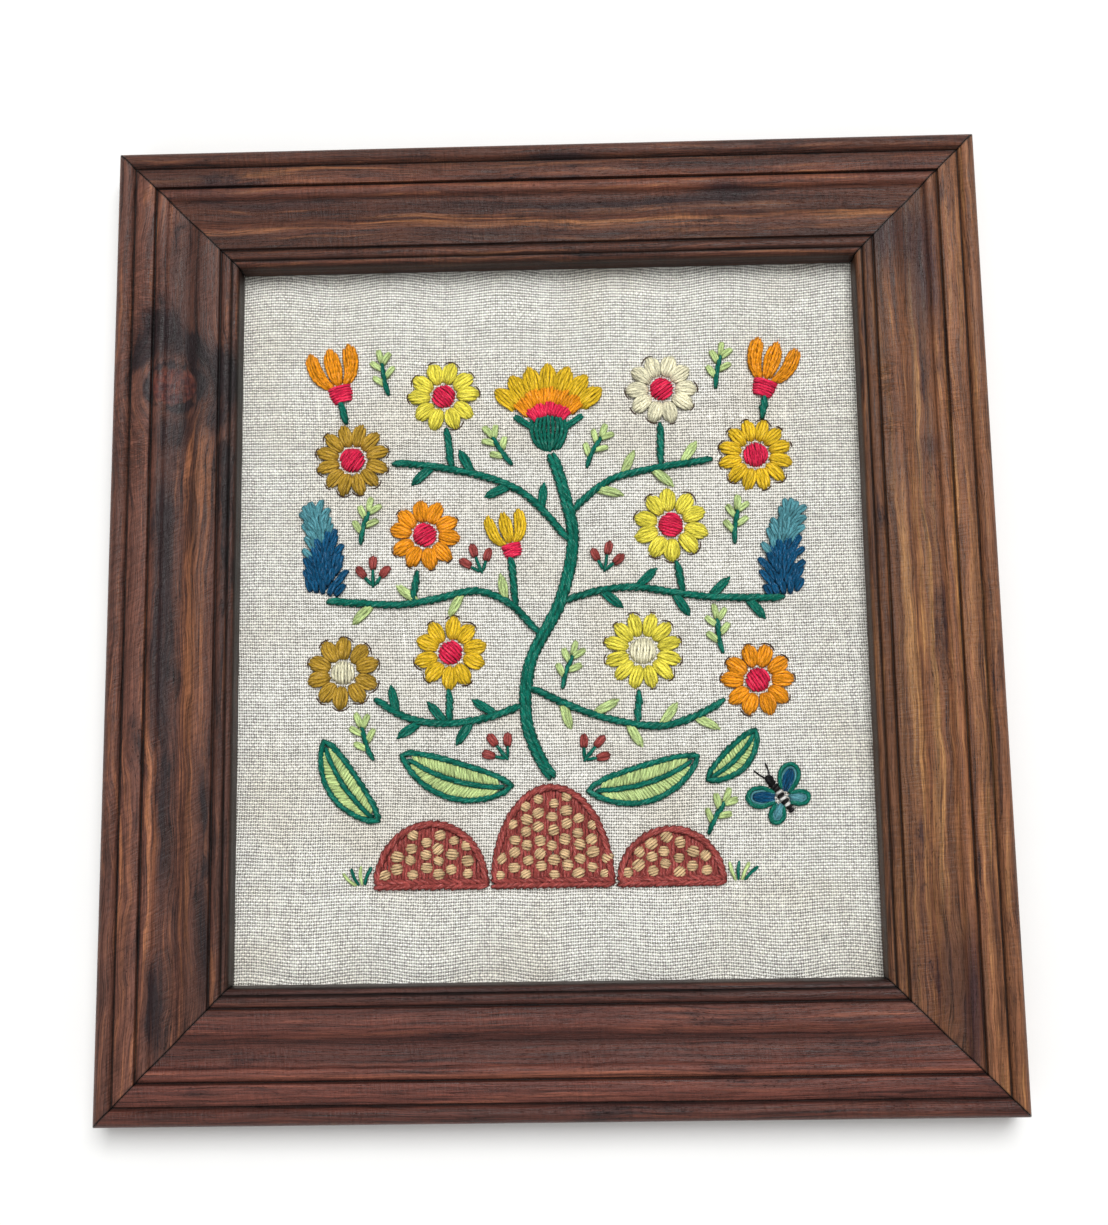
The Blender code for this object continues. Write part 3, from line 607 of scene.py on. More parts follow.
def pine(name, stain, roughness):
    """Pine stained walnut brown: year rings, smears, a knot, scraper marks and dark groove lines, with
    painted shade in them and on the lip's inner side, and painted highlight and shade across the
    members.
    """
    material, t = new_material(f"pine_{name}")
    board = Board(t, name)
    figure = board.figure
    face = FACE / MM
    ragged, heart, rim = bend_grain(board)
    late = year_rings(board, ragged)
    fibre = t.smooth(board.spread(16, 0.36, 3.0, 0.65), 0.30, 0.70)
    streak = board.spread(60, 1.7, 4.0, 0.62)
    blotch = board.spread(34, 9.0, 5.0, 0.62)
    pore = t.smooth(board.spread(2.6, 0.22, 1.0), 0.60, 0.76)
    specks = t.smooth(board.spread(1.5, 0.55, 0.0), 0.71, 0.76) * t.smooth(blotch, 0.50, 0.66)
    groove_stain_and_shade, mitre = dark_lines(board)
    chatter, dents = tool_marks(board)

    pale, dark = smears(board, ragged, fibre, streak, blotch)
    dark = dark * (1.0 - heart * 0.75) + rim
    tone = t.mix(t.smooth(pale, 0.0, 1.1), stain, figure["pale"])
    tone = t.mix(t.smooth(dark, 0.0, 0.95, 0.0, 0.95), tone, figure["dark"])
    if figure["knots"]:
        core = t.mix(t.smooth(board.spread(3, 2), 0.4, 0.6), *KNOT_HEART)
        tone = t.mix(heart * (1.0 - t.smooth(rim, 0.2, 0.8)) * 0.85, tone, core)

    # Band by band across the moulding: the stain's strength, with painted highlight on the beads and
    # painted shade in the coves and on slopes turned from the light
    stops = [(at / face, (0.5 * level,) * 3) for at, level in zip(STAIN_AND_SHADE_STOPS, figure["depths"])]
    ramp = t.node("ShaderNodeValToRGB", {"stops": stops}, {"Fac": board.inward / face})
    depth, _, _ = t.parted(ramp)
    level = 0.55 + fibre * 0.86 + (streak - 0.5) * 0.9 - late * 0.30
    level = level * (1.0 - pore * 0.45) * depth * 2.0
    # Painted shade with pooled stain along the groove lines, and the dark mitre joints
    level = level * (1.0 - groove_stain_and_shade * 0.82) * (1.0 - mitre * 0.75)
    level = level * (1.0 + chatter * figure["scrape"]) * (1.0 + dents * 0.55)
    # Painted shade on the lip's inner side, which faces the linen, where the stain is also darker; the
    # dark specks are the wood's own
    level = level * (1.0 - specks * 0.65) * t.smooth(board.inward, face - 0.8, face - 0.1, 1.0, 0.35)

    above_back = t.smooth(board.height, 0.6, 2.2)
    edge = t.smooth(board.inward, 0.2, 2.4, 0.5, 0.0)
    worn = t.smooth(board.spread(6, 1.4, 4.0, 0.7), 0.60, 0.70) * edge
    tone = t.mix(worn, tone, WORN_PINE)
    tone = t.mix(above_back, t.mix(t.smooth(blotch, 0.3, 0.8), *RAW_PINE), tone)
    level = above_back * level + (1.0 - above_back) * (0.75 + fibre * 0.4 - late * 0.2)

    relief = fibre * 0.7 - late * 0.5 + chatter * 0.9 - pore * 0.8 + dents * 2.0 - specks
    surface(
        t,
        Base_Color=t.shade(tone, level),
        Roughness=roughness + (fibre - 0.5) * 0.16 + groove_stain_and_shade * 0.2 + (blotch - 0.5) * 0.25,
        Normal=t.bump(relief, 0.10 * MM, 0.9),
        Specular_IOR_Level=0.28,
    )
    return material


def arc(centre, radii, first, last, steps):
    """Points of a bead: an elliptic arc from one angle to the other, in degrees."""
    angles = np.radians(np.linspace(first, last, steps))
    return np.stack([centre[0] + radii[0] * np.cos(angles), centre[1] + radii[1] * np.sin(angles)], 1)


def sweep_between(start, end, steps):
    """Points of a flowing curve that leaves and arrives level."""
    share = np.linspace(0, 1, steps)
    rise = (1 - np.cos(math.pi * share)) / 2
    return np.stack([start[0] + (end[0] - start[0]) * share, start[1] + (end[1] - start[1]) * rise], 1)


def crown(start, end, rise, steps):
    """Points of a slightly rounded band."""
    share = np.linspace(0, 1, steps)
    height = start[1] + (end[1] - start[1]) * share + rise * 4 * share * (1 - share)
    return np.stack([start[0] + (end[0] - start[0]) * share, height], 1)


def moulding_profile():
    """The moulding's section, in mm: distance in from the outer edge, height above the back."""
    face, wall, ledge = FACE / MM, (FACE - RABBET_WIDTH) / MM, RABBET_DEPTH / MM
    pieces = [
        arc((3.3, 14.6), (3.3, 3.6), 180, 36, 17),
        [(6.35, 16.15), (6.6, 16.15)],
        crown((7.1, 17.3), (13.8, 17.8), 0.6, 13),
        [(14.25, 16.65), (14.5, 16.6)],
        arc((17.2, 16.6), (2.5, 2.4), 160, 28, 15),
        sweep_between((20.6, 17.0), (25.6, 16.1), 11),
        sweep_between((25.6, 16.1), (32.0, 17.9), 14)[1:],
        sweep_between((32.0, 17.9), (37.8, 17.3), 10)[1:],
        [(38.25, 16.45), (38.5, 16.4)],
        crown((39.0, 17.3), (41.9, 17.3), 0.45, 9),
        [(42.4, 16.5), (42.6, 16.5)],
        arc((43.1, 14.8), (face - 43.1, 2.4), 95, 0, 11),
        [(face, 12.5), (face, ledge + 0.3), (face - 0.3, ledge)],
        [(wall, ledge), (wall, 0.5), (wall - 0.5, 0)],
        [(wall / 2, 0), (0.5, 0), (0, 0.5), (0, 5), (0, 10)],
    ]
    return np.concatenate([np.asarray(piece, float) for piece in pieces])


def rail_mesh(name):
    """One mitred rail, in place: the moulding's section swept along it."""
    length, turn, reach = RAILS[name]
    profile = moulding_profile() * MM
    count = len(profile)
    stations = np.linspace(-1, 1, RAIL_STATIONS)
    points = []
    for station in stations:
        for inward, height in profile:
            along = station * (length / 2 - inward - MITRE_GAP)
            lift = 0
            if height > SANDED_ABOVE:
                spot = (along * UNEVEN_SCALE[0], inward * UNEVEN_SCALE[1], turn)
                lift = noise.noise(Vector(spot)) * SANDING
            points.append((along, inward, height + lift))
    faces = [tuple(range(count - 1, -1, -1))]
    for k in range(RAIL_STATIONS - 1):
        for i in range(count):
            a, b = k * count + i, k * count + (i + 1) % count
            faces.append((a, b, b + count, a + count))
    faces.append(tuple(range((RAIL_STATIONS - 1) * count, RAIL_STATIONS * count)))
    mesh = bpy.data.meshes.new(name)
    mesh.from_pydata(points, [], faces)
    mesh.transform(Matrix.Rotation(math.radians(turn), 4, "Z") @ Matrix.Translation((0, -reach, 0)))
    shape = bmesh.new()
    shape.from_mesh(mesh)
    bmesh.ops.recalc_face_normals(shape, faces=shape.faces)
    shape.to_mesh(mesh)
    shape.free()
    mesh.shade_smooth()
    mesh.set_sharp_from_angle(angle=math.radians(SHARP_ANGLE))
    return mesh


def add_piece(name, mesh, materials=()):
    for finish in materials:
        mesh.materials.append(finish)
    made = bpy.data.objects.new(name, mesh)
    bpy.context.scene.collection.objects.link(made)
    return made


def work_in(context, piece):
    """Turns what a piece's modifiers make into its plain mesh."""
    graph = context.evaluated_depsgraph_get()
    mesh = bpy.data.meshes.new_from_object(piece.evaluated_get(graph))
    piece.modifiers.clear()
    piece.data = mesh
    return mesh


def mount(piece, node, stands_for=True):
    """Gives a piece its body and, unless it is only added, hides the node that it replaces."""
    if stands_for:
        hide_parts(node)
    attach(piece, "root")


class CREWEL_OT_frame(bpy.types.Operator):
    """Builds the four rails of moulding, with their stain and figure"""

    bl_idname = "crewel.frame"
    bl_label = "Frame"

    def execute(self, context):
        settings = context.scene.crewel_frame
        for name in RAILS:
            side = name.split("_")[1]
            finish = pine(name, getattr(settings, side), settings.gloss)
            mount(add_piece(f"moulding_{side}", rail_mesh(name), [finish]), name)
        return {"FINISHED"}


# The linen


def ripple(x, y):
    """The wave along the linen's top and bottom edges, from -1 to 1."""
    return np.sin(2 * math.pi * x / RIPPLE_PITCH + RIPPLE_SHIFT * np.sign(y))


def linen_top(x, y):
    """Height of the linen's face: broad swells, and ripples along the edges."""
    half_x = OUTER_WIDTH / 2 - FACE
    half_y = OUTER_HEIGHT / 2 - FACE
    inside_x = np.clip((half_x - np.abs(x)) / half_x, 0, 1)
    inside_y = np.clip((half_y - np.abs(y)) / half_y, 0, 1)
    swell = np.sin(math.pi * inside_x / 2) * np.sin(math.pi * inside_y / 2)
    across = np.sin(2 * math.pi * x / SWELL_PITCH[0] + SWELL_SHIFT[0])
    up = np.cos(2 * math.pi * y / SWELL_PITCH[1] + SWELL_SHIFT[1])
    lean = 1 - SWELL_LEAN + SWELL_LEAN * across * up
    far = inside_y * half_y
    near = np.exp(-far / RIPPLE_REACH) * np.minimum(1, far / RIPPLE_START)
    flat = RABBET_DEPTH - LINEN_GAP
    return flat - LINEN_SWELL * swell * lean - RIPPLE * near * (1 + ripple(x, y))


def thread_way(x, y):
    """Where a point of the panel is in the unstretched cloth: the threads run wavy."""
    half_y = OUTER_HEIGHT / 2 - FACE
    far = np.clip(half_y - np.abs(y), 0, None)
    pull = np.exp(-far / PULL_REACH) * PULL * ripple(x, y)
    bow = THREAD_BOW * np.sin(x / (95 * MM) + 0.6) * np.cos(y / (120 * MM))
    long_sway = THREAD_SWAY[0] * np.sin(y / (48 * MM) + x / (140 * MM))
    short_sway = THREAD_SWAY[1] * np.sin(y / (17 * MM) + 1.3)
    return x + long_sway + short_sway, y + pull * np.sign(y) + bow


def linen_mesh():
    half_x = OUTER_WIDTH / 2 - FACE + RABBET_WIDTH - LINEN_PLAY
    half_y = OUTER_HEIGHT / 2 - FACE + RABBET_WIDTH - LINEN_PLAY
    grid = bmesh.new()
    uv = grid.loops.layers.uv.new("threads")
    bmesh.ops.create_grid(grid, x_segments=LINEN_CELLS[0], y_segments=LINEN_CELLS[1], size=1)
    for vert in grid.verts:
        x, y = vert.co.x * half_x, vert.co.y * half_y
        vert.co = (x, y, linen_top(x, y))
    for face in grid.faces:
        for loop in face.loops:
            loop[uv].uv = thread_way(loop.vert.co.x, loop.vert.co.y)
    mesh = bpy.data.meshes.new("linen")
    grid.to_mesh(mesh)
    grid.free()
    mesh.shade_smooth()
    return mesh


def thread_set(t, across, along, key, slub_place, half, uneven, phase):
    """One set of threads, numbered across: their numbers, heights, shades and thick stretches."""
    number = t.math("FLOOR", across)
    kind = t.one_of(number + key)
    slub = t.noise(slub_place(number), 1.0, 3.0, 0.65)
    thick = t.smooth(slub, 0.64, 0.72)
    half = half + kind * 0.07 + (slub - 0.5) * uneven + thick * 0.10
    share = (across - number - 0.5) / half
    rounded = t.math("SQRT", t.math("MAXIMUM", 1.0 - share * share, 0.0))
    over = t.math("COSINE", (along + phase + number) * math.pi)
    shade = kind * 0.05 + (slub - 0.5) * 0.16
    return number, (over * 0.42 + 0.58) * rounded, shade, thick


def linen_finish(settings):
    """Plain-woven natural linen: uneven threads over and under, slubs and dark pinholes painted as
    shade, with the weft-over crossings painted lighter and the warp-over ones darker as if lit from the
    side.
    """
    material, t = new_material("natural_linen")
    cloth = t.node("ShaderNodeUVMap", {"uv_map": "threads"})
    x, y, _ = t.parted(cloth)

    def stray(layer, scale, detail):
        """How far the threads stray, from -0.5 to 0.5."""
        return t.noise(t.joined(x, y, layer), scale, detail) - 0.5

    sway_x, jog_x = stray(3.0, 45.0, 2.0), stray(5.0, 430.0, 1.0)
    sway_y, jog_y = stray(9.0, 45.0, 2.0), stray(15.0, 430.0, 1.0)
    u = (x + sway_x * (0.9 * MM) + jog_x * (0.34 * MM)) / settings.warp_pitch
    v = (y + sway_y * (1.0 * MM) + jog_y * (0.36 * MM)) / settings.weft_pitch
    warp, warp_high, warp_shade, warp_thick = thread_set(
        t, u, v, 0.5, lambda n: t.joined(n * 7.13, v * 0.035, 1.0), half=0.27, uneven=0.18, phase=-0.5
    )
    weft, weft_high, weft_shade, weft_thick = thread_set(
        t, v, u, 500.5, lambda n: t.joined(n * 5.71, u * 0.030, 5.0), half=0.285, uneven=0.20, phase=0.5
    )
    high = t.math("MAXIMUM", warp_high, weft_high)
    on_warp = t.smooth(warp_high - weft_high, -0.03, 0.03)

    # Painted light and shade: weft-over crossings lighter, warp-over ones darker, as if lit from the
    # side, on top of each thread's own tone and slubs
    warp_tone_and_painted_shade = 0.87 + warp_shade + warp_thick * 0.16
    weft_tone_and_painted_light = 1.04 + weft_shade + weft_thick * 0.10
    thread_tone_and_painted_shading = weft_tone_and_painted_light + (warp_tone_and_painted_shade - weft_tone_and_painted_light) * on_warp
    fuzz = t.noise(t.joined(x * 9000, y * 9000, 0.0), 1.0, 2.0)
    patch = t.noise(t.joined(x, y, 21.0), 22.0, 4.0, 0.6)
    base = t.mix(t.smooth(patch, 0.40, 0.72), settings.colour, settings.aged)
    knuckle = t.cell_of(warp, weft)
    base = t.shade(base, thread_tone_and_painted_shading * (0.84 + fuzz * 0.14 + knuckle * 0.16))
    hole = t.cell_of(t.math("FLOOR", u + 0.5), t.math("FLOOR", v + 0.5) + 900.5)
    # Painted shade: where the weave sinks between the threads it takes the gap colour
    depth = t.smooth(high + (hole - 0.5) * 0.26, 0.14, 0.68)
    base = t.mix(depth, settings.hole, base)
    normal = t.bump(high + (fuzz - 0.5) * 0.12, 0.30 * MM, 0.62)
    surface(t, Base_Color=base, Roughness=0.92, Normal=normal, Sheen_Weight=0.12)
    return material


class CREWEL_OT_linen(bpy.types.Operator):
    """Stretches the linen ground behind the lip of the frame"""

    bl_idname = "crewel.linen"
    bl_label = "Linen"

    def execute(self, context):
        settings = context.scene.crewel_linen
        made = add_piece("linen", linen_mesh(), [linen_finish(settings)])
        wall = made.modifiers.new("thickness", "SOLIDIFY")
        wall.thickness = settings.thickness
        wall.offset = -1
        work_in(context, made)
        mount(made, "linen_ground")
        return {"FINISHED"}


# Stitches


def wool_finish(name, colour, sheen):
    """Two-ply crewel wool: fibres that wind round the strand, with painted shade between the plies and
    on the strand's sides, painted light on its upper face and a painted highlight where the fibres
    bunch.
    """
    material, t = new_material(f"wool_{name}")
    fibre = t.node("ShaderNodeAttribute", {"attribute_name": "fibre"}, output="Vector")
    tint = t.node("ShaderNodeAttribute", {"attribute_name": "tint"}, output="Fac")
    groove = t.node("ShaderNodeAttribute", {"attribute_name": "groove"}, output="Fac")
    locks = t.vector("MULTIPLY", fibre, (1.7, 1.7, 0.22))
    hairs = t.vector("MULTIPLY", fibre, (5.5, 5.5, 0.55))
    coarse = t.smooth(t.noise(locks, 1.0, 3.0, 0.6), 0.32, 0.68)
    fine = t.smooth(t.noise(hairs, 1.0, 3.0, 0.65), 0.30, 0.70)
    between = t.smooth(groove, 0.62, 1.0)
    # Painted light and shade: faces that point up are lightened, the sides darkened as if shaded by the
    # strands beside them
    _, _, upright = t.parted(t.node("ShaderNodeNewGeometry", output="Normal"))
    upright_light_and_shade = t.smooth(t.math("ABSOLUTE", upright), 0.20, 0.92, 0.48, 1.13)
    # Painted shade between the plies, times the painted light and shade of the facing above
    level = (0.28 + tint * 0.30 + coarse * 0.60 + fine * 0.42) * (1.0 - between * 0.40) * upright_light_and_shade
    # A paler colour: the sheen's tint, and a painted highlight mixed in where the fibres bunch, with
    # pale fibre tips
    pale = [c + (1 - c) * 0.16 for c in colour]
    tone = t.mix(t.smooth(coarse * fine, 0.38, 0.90) * 0.75, colour, pale)
    tone = t.shade(tone, level)
    normal = t.bump(coarse * 0.6 + fine * 0.5 - between * 0.5, 0.18 * MM, 1.0)
    surface(
        t, Base_Color=tone, Roughness=0.85, Normal=normal, Sheen_Weight=sheen,
        Sheen_Roughness=0.45, Sheen_Tint=pale, Specular_IOR_Level=0.16,
    )
    return material


def wool(context, name):
    """The finish of one wool, made when it is first used."""
    settings = context.scene.crewel_wool
    found = bpy.data.materials.get(f"wool_{name}")
    return found or wool_finish(name, tuple(getattr(settings, name)), settings.hairiness)


STRAND_INPUTS = {
    "Geometry": "NodeSocketGeometry",
    "Sides": "NodeSocketInt",
    "Steps": "NodeSocketInt",
    "Twist": "NodeSocketFloat",
    "Ply depth": "NodeSocketFloat",
    "Flatness": "NodeSocketFloat",
    "Fuzz": "NodeSocketFloat",
    "Hair length": "NodeSocketFloat",
}


def spines(t, guide, steps, twist):
    """Smooth curves along the guide's paths, thinner at their ends and turned by the twist."""
    paths = t.node("GeometryNodeMeshToCurve", None, {"Mesh": guide})
    paths = t.node("GeometryNodeCurveSplineType", {"spline_type": "CATMULL_ROM"}, {"Curve": paths})
    paths = t.node("GeometryNodeResampleCurve", None, {"Curve": paths, "Count": steps})
    factor, length = t.outputs(t.node("GeometryNodeSplineParameter"), "Factor", "Length")
    end = t.math("ABSOLUTE", factor * 2.0 - 1.0)
    _, _, height = t.parted(t.node("GeometryNodeInputPosition"))
    turns = (length / twist + t.named("tint")) * (2 * math.pi)
    paths = t.stored(paths, "along", length)
    paths = t.stored(paths, "spine", height)
    paths = t.stored(paths, "thick", t.named("width") * (0.5 - 0.16 * end**6.0))
    return t.node("GeometryNodeSetCurveTilt", None, {"Curve": paths, "Tilt": turns})


def section(t, sides, ply):
    """The outline of a strand: two plies side by side, with a groove between them."""
    ring = t.node("GeometryNodeCurvePrimitiveCircle", None, {"Resolution": sides, "Radius": 1.0})
    position = t.node("GeometryNodeInputPosition")
    x, y, _ = t.parted(position)
    ring = t.stored(ring, "ring_x", x)
    ring = t.stored(ring, "ring_y", y)
    pinched = t.shade(position, 1.0 - y * y * ply)
    return t.node("GeometryNodeSetPosition", None, {"Geometry": ring, "Position": pinched})


def twisted(t, paths, outline, flat):
    """The section swept along the paths and pressed flatter, with what the finish reads."""
    values = {"Curve": paths, "Profile Curve": outline, "Scale": t.named("thick"), "Fill Caps": True}
    strands = t.node("GeometryNodeCurveToMesh", None, values)
    x, y, z = t.parted(t.node("GeometryNodeInputPosition"))
    pressed = t.joined(x, y, t.named("spine") + (z - t.named("spine")) * flat)
    strands = t.node("GeometryNodeSetPosition", None, {"Geometry": strands, "Position": pressed})
    wind = t.named("along") * 900.0
    cosine, sine = t.math("COSINE", wind), t.math("SINE", wind)
    ring_x, ring_y = t.named("ring_x"), t.named("ring_y")
    turned_x = ring_x * cosine - ring_y * sine
    turned_y = ring_x * sine + ring_y * cosine
    fibre = t.joined(turned_x, turned_y, t.named("along") * 1200.0 + t.named("tint") * 70.0)
    strands = t.stored(strands, "fibre", fibre, "FLOAT_VECTOR")
    strands = t.stored(strands, "groove", ring_y * ring_y)
    return t.node("GeometryNodeSetShadeSmooth", None, {"Geometry": strands})


def loose_hairs(t, strands, fuzz, length):
    """Short hairs that stand off the strands' upper side."""
    _, _, facing = t.parted(t.node("GeometryNodeInputNormal"))
    shown = t.math("GREATER_THAN", facing, -0.25)
    roots = t.node(
        "GeometryNodeDistributePointsOnFaces",
        {"distribute_method": "RANDOM"},
        {"Mesh": strands, "Selection": shown, "Density": fuzz, "Seed": 7},
    )
    _, upright = t.outputs(roots, "Points", "Rotation")
    tilt = t.random_vector((-1.15, -1.15, 0.0), (1.15, 1.15, 6.28), 11)
    lean = t.node("FunctionNodeRotateRotation", {"rotation_space": "LOCAL"}, {0: upright, 1: tilt})
    shape = {"Vertices": 3, "Radius Top": 0.0, "Radius Bottom": 0.04, "Depth": 1.0}
    blade = t.node("GeometryNodeMeshCone", {"fill_type": "NGON"}, shape)
    size = t.shade(t.random_vector((0.45, 0.45, 0.45), (1.0, 1.0, 1.0), 13), length)
    values = {"Points": roots, "Instance": blade, "Rotation": lean, "Scale": size}
    return t.node("GeometryNodeInstanceOnPoints", None, values)


def strand_tree(wools):
    """Geometry Nodes that turn each path of a guide mesh into a twisted strand of wool."""
    name = f"wool_strands_{wools}"
    if name in bpy.data.node_groups:
        return bpy.data.node_groups[name]
    group = bpy.data.node_groups.new(name, "GeometryNodeTree")
    finishes = {f"Wool {k + 1}": "NodeSocketMaterial" for k in range(wools)}
    group.interface.new_socket("Geometry", in_out="OUTPUT", socket_type="NodeSocketGeometry")
    for label, kind in {**STRAND_INPUTS, **finishes}.items():
        group.interface.new_socket(label, in_out="INPUT", socket_type=kind)
    t = Tree(group)
    given = t.node("NodeGroupInput")
    guide, sides, steps, twist, ply, flat, fuzz, hair = t.outputs(given, *STRAND_INPUTS)
    strands = twisted(t, spines(t, guide, steps, twist), section(t, sides, ply), flat)
    hairs = loose_hairs(t, strands, fuzz, hair)
    strands = t.node("GeometryNodeJoinGeometry", None, {"Geometry": strands})
    group.links.new(hairs.socket, strands.socket.node.inputs["Geometry"])
    strands = t.node("GeometryNodeRealizeInstances", None, {"Geometry": strands})
    for k, finish in enumerate(t.outputs(given, *finishes)):
        equal = {"data_type": "INT", "operation": "EQUAL"}
        chosen = t.node("FunctionNodeCompare", equal, {2: t.named("wool", "INT"), 3: k})
        values = {"Geometry": strands, "Selection": chosen, "Material": finish}
        strands = t.node("GeometryNodeSetMaterial", None, values)
    out = group.nodes.new("NodeGroupOutput")
    group.links.new(strands.socket, out.inputs["Geometry"])
    return group


def along_path(path, share):
    """Points of a path in mm at shares of its length."""
    path = np.asarray(path, float)
    gone = np.concatenate([[0], np.cumsum(np.linalg.norm(np.diff(path, axis=0), axis=1))])
    at = np.asarray(share) * gone[-1]
    return np.stack([np.interp(at, gone, path[:, k]) for k in range(2)], -1)


def length_of(path):
    return float(np.linalg.norm(np.diff(np.asarray(path, float), axis=0), axis=1).sum())


def flowing_path(points, spacing):
    """Points a set distance apart on a smooth curve through the given ones."""
    points = [Vector((*p, 0)) for p in points]
    way = [points[0]]
    for i in range(len(points) - 1):
        before = points[max(i - 1, 0)]
        after = points[min(i + 2, len(points) - 1)]
        start, end = points[i], points[i + 1]
        handles = start + (end - before) / 6, end - (after - start) / 6
        way += interpolate_bezier(start, *handles, end, 9)[1:]
    way = np.array([p[:2] for p in way])
    return along_path(way, np.linspace(0, 1, max(3, round(length_of(way) / spacing) + 1)))


def turned(points, turn, x=0.0, y=0.0):
    """Points turned by degrees about the origin, then moved."""
    points = np.asarray(points, float)
    px, py = points[..., 0], points[..., 1]
    c, s = math.cos(math.radians(turn)), math.sin(math.radians(turn))
    return np.stack([px * c - py * s + x, px * s + py * c + y], -1)


def heading_of(here, ahead):
    """The direction from one point to another, in degrees."""
    return math.degrees(math.atan2(*(ahead - here)[::-1]))


def beside(path, offset):
    """A path a set distance to the left of another."""
    path = np.asarray(path, float)
    heading = np.gradient(path, axis=0)
    heading /= np.linalg.norm(heading, axis=1)[:, None] + 1e-9
    return path + np.stack([-heading[:, 1], heading[:, 0]], 1) * np.asarray(offset).reshape(-1, 1)


class Needle:
    """Works the strands of one piece. Paths are in mm over the flat panel."""

    def __init__(self, name):
        self.random = np.random.default_rng(zlib.crc32(name.encode()))
        self.wools = []
        self.strands = []
        self.place = (0.0, 0.0, 0.0)  # turn in degrees, x, y

    def lay(self, path, wool_name, top=0.55, width=STRAND, sink=SINK, skew=0.12):
        """One stitch: up through the linen, along the path, and down again."""
        if wool_name not in self.wools:
            self.wools.append(wool_name)
        share = np.array(STITCH_SHARES)
        flat = turned(along_path(path, share), *self.place)
        jitter = self.random.normal(0, skew, (2, 2))
        flat = flat + np.outer(1 - share, jitter[0]) + np.outer(share, jitter[1])
        top = top * self.random.uniform(0.92, 1.08)
        rise = 1 - np.abs(2 * share - 1) ** 4
        height = -sink + (top + sink) * rise
        width = width * self.random.uniform(0.92, 1.08)
        tint = self.random.uniform()
        number = self.wools.index(wool_name)
        self.strands.append((np.column_stack([flat, height]), width, number, tint))

    def along(self, left, right, count, wool_name, top=0.9, heel=0.06, tip=0.16, width=STRAND):
        """Satin stitches that run with two sides, from heel to tip."""
        steps = np.linspace(0, 1, 7)
        a, b = along_path(left, steps), along_path(right, steps)
        for k in self.random.permutation(count):
            s = (k + 0.5) / count
            away = abs(2 * s - 1)
            first = heel * away**2 + self.random.uniform(0, 0.02)
            last = 1 - tip * away**2.2 - self.random.uniform(0, 0.02)
            path = along_path(a + (b - a) * s, np.linspace(first, last, 6))
            self.lay(path, wool_name, top * (1 - 0.45 * away**2), width)

    def across(
        self, left, right, wool_name, top=0.6, spacing=1.12, slant=0.0, first=0.0, last=1.0,
        width=STRAND,
    ):
        """Satin stitches from one side to the other, close together."""
        count = max(1, round(length_of(left) * (last - first) / spacing))
        for k in range(count):
            share = first + (last - first) * (k + 0.5) / count
            start = along_path(left, min(1.0, max(0.0, share)))
            end = along_path(right, min(1.0, max(0.0, share + slant)))
            if np.linalg.norm(end - start) > 0.8:
                self.lay([start, (start + end) / 2, end], wool_name, top, width, skew=0.07)

    def rope(
        self, path, wool_name, rows=1, pitch=2.0, slant=0.5, row_gap=1.9, top=0.9, width=STRAND,
        reach=2.9, plait=False,
    ):
        """Stem stitch: slanting stitches, each started beside the middle of the last."""
        total = length_of(path)
        fine = along_path(path, np.linspace(0, 1, max(8, int(total))))
        for row in range(rows):
            line = beside(fine, (row - (rows - 1) / 2) * row_gap)
            count = max(1, round(total / pitch))
            lean = -slant if plait and row % 2 else slant
            for k in range(count):
                middle = (k + 0.5) / count
                half = min(reach / total, 0.5)
                share = np.clip(np.linspace(middle - half, middle + half, 5), 0, 1)
                stitch = beside(along_path(line, share), np.linspace(-lean, lean, 5))
                self.lay(stitch, wool_name, top, width, skew=0.06)

    def dot(self, x, y, radius, wool_name, turn=0.0, top=1.1, stretch=1.0, width=STRAND):
        """A round padded dot of satin stitches."""
        count = max(4, round(2 * radius / (0.80 * width)))
        for k in range(count):
            s = 2 * (k + 0.5) / count - 1
            half = radius * stretch * math.sqrt(1 - 0.86 * s * s)
            path = [(-half, s * radius * 0.82), (0, s * radius), (half, s * radius * 0.82)]
            path = turned(flowing_path(path, 0.8), turn, x, y)
            self.lay(path, wool_name, top * (1 - 0.5 * s * s), width, skew=0.07)

    def guide(self):
        """The paths as a mesh of edges, laid on the linen, with what each strand needs."""
        count = len(STITCH_SHARES)
        paths = np.array([strand[0] for strand in self.strands]) * MM
        paths[..., 2] += linen_top(paths[..., 0], paths[..., 1])
        strands = len(paths)
        edges = [(s * count + k, s * count + k + 1) for s in range(strands) for k in range(count - 1)]
        mesh = bpy.data.meshes.new("guide")
        mesh.from_pydata(paths.reshape(-1, 3).tolist(), edges, [])
        for label, kind, values in (
            ("width", "FLOAT", [strand[1] * MM for strand in self.strands]),
            ("wool", "INT", [strand[2] for strand in self.strands]),
            ("tint", "FLOAT", [strand[3] for strand in self.strands]),
        ):
            layer = mesh.attributes.new(label, kind, "POINT")
            layer.data.foreach_set("value", np.repeat(values, count))
        return mesh


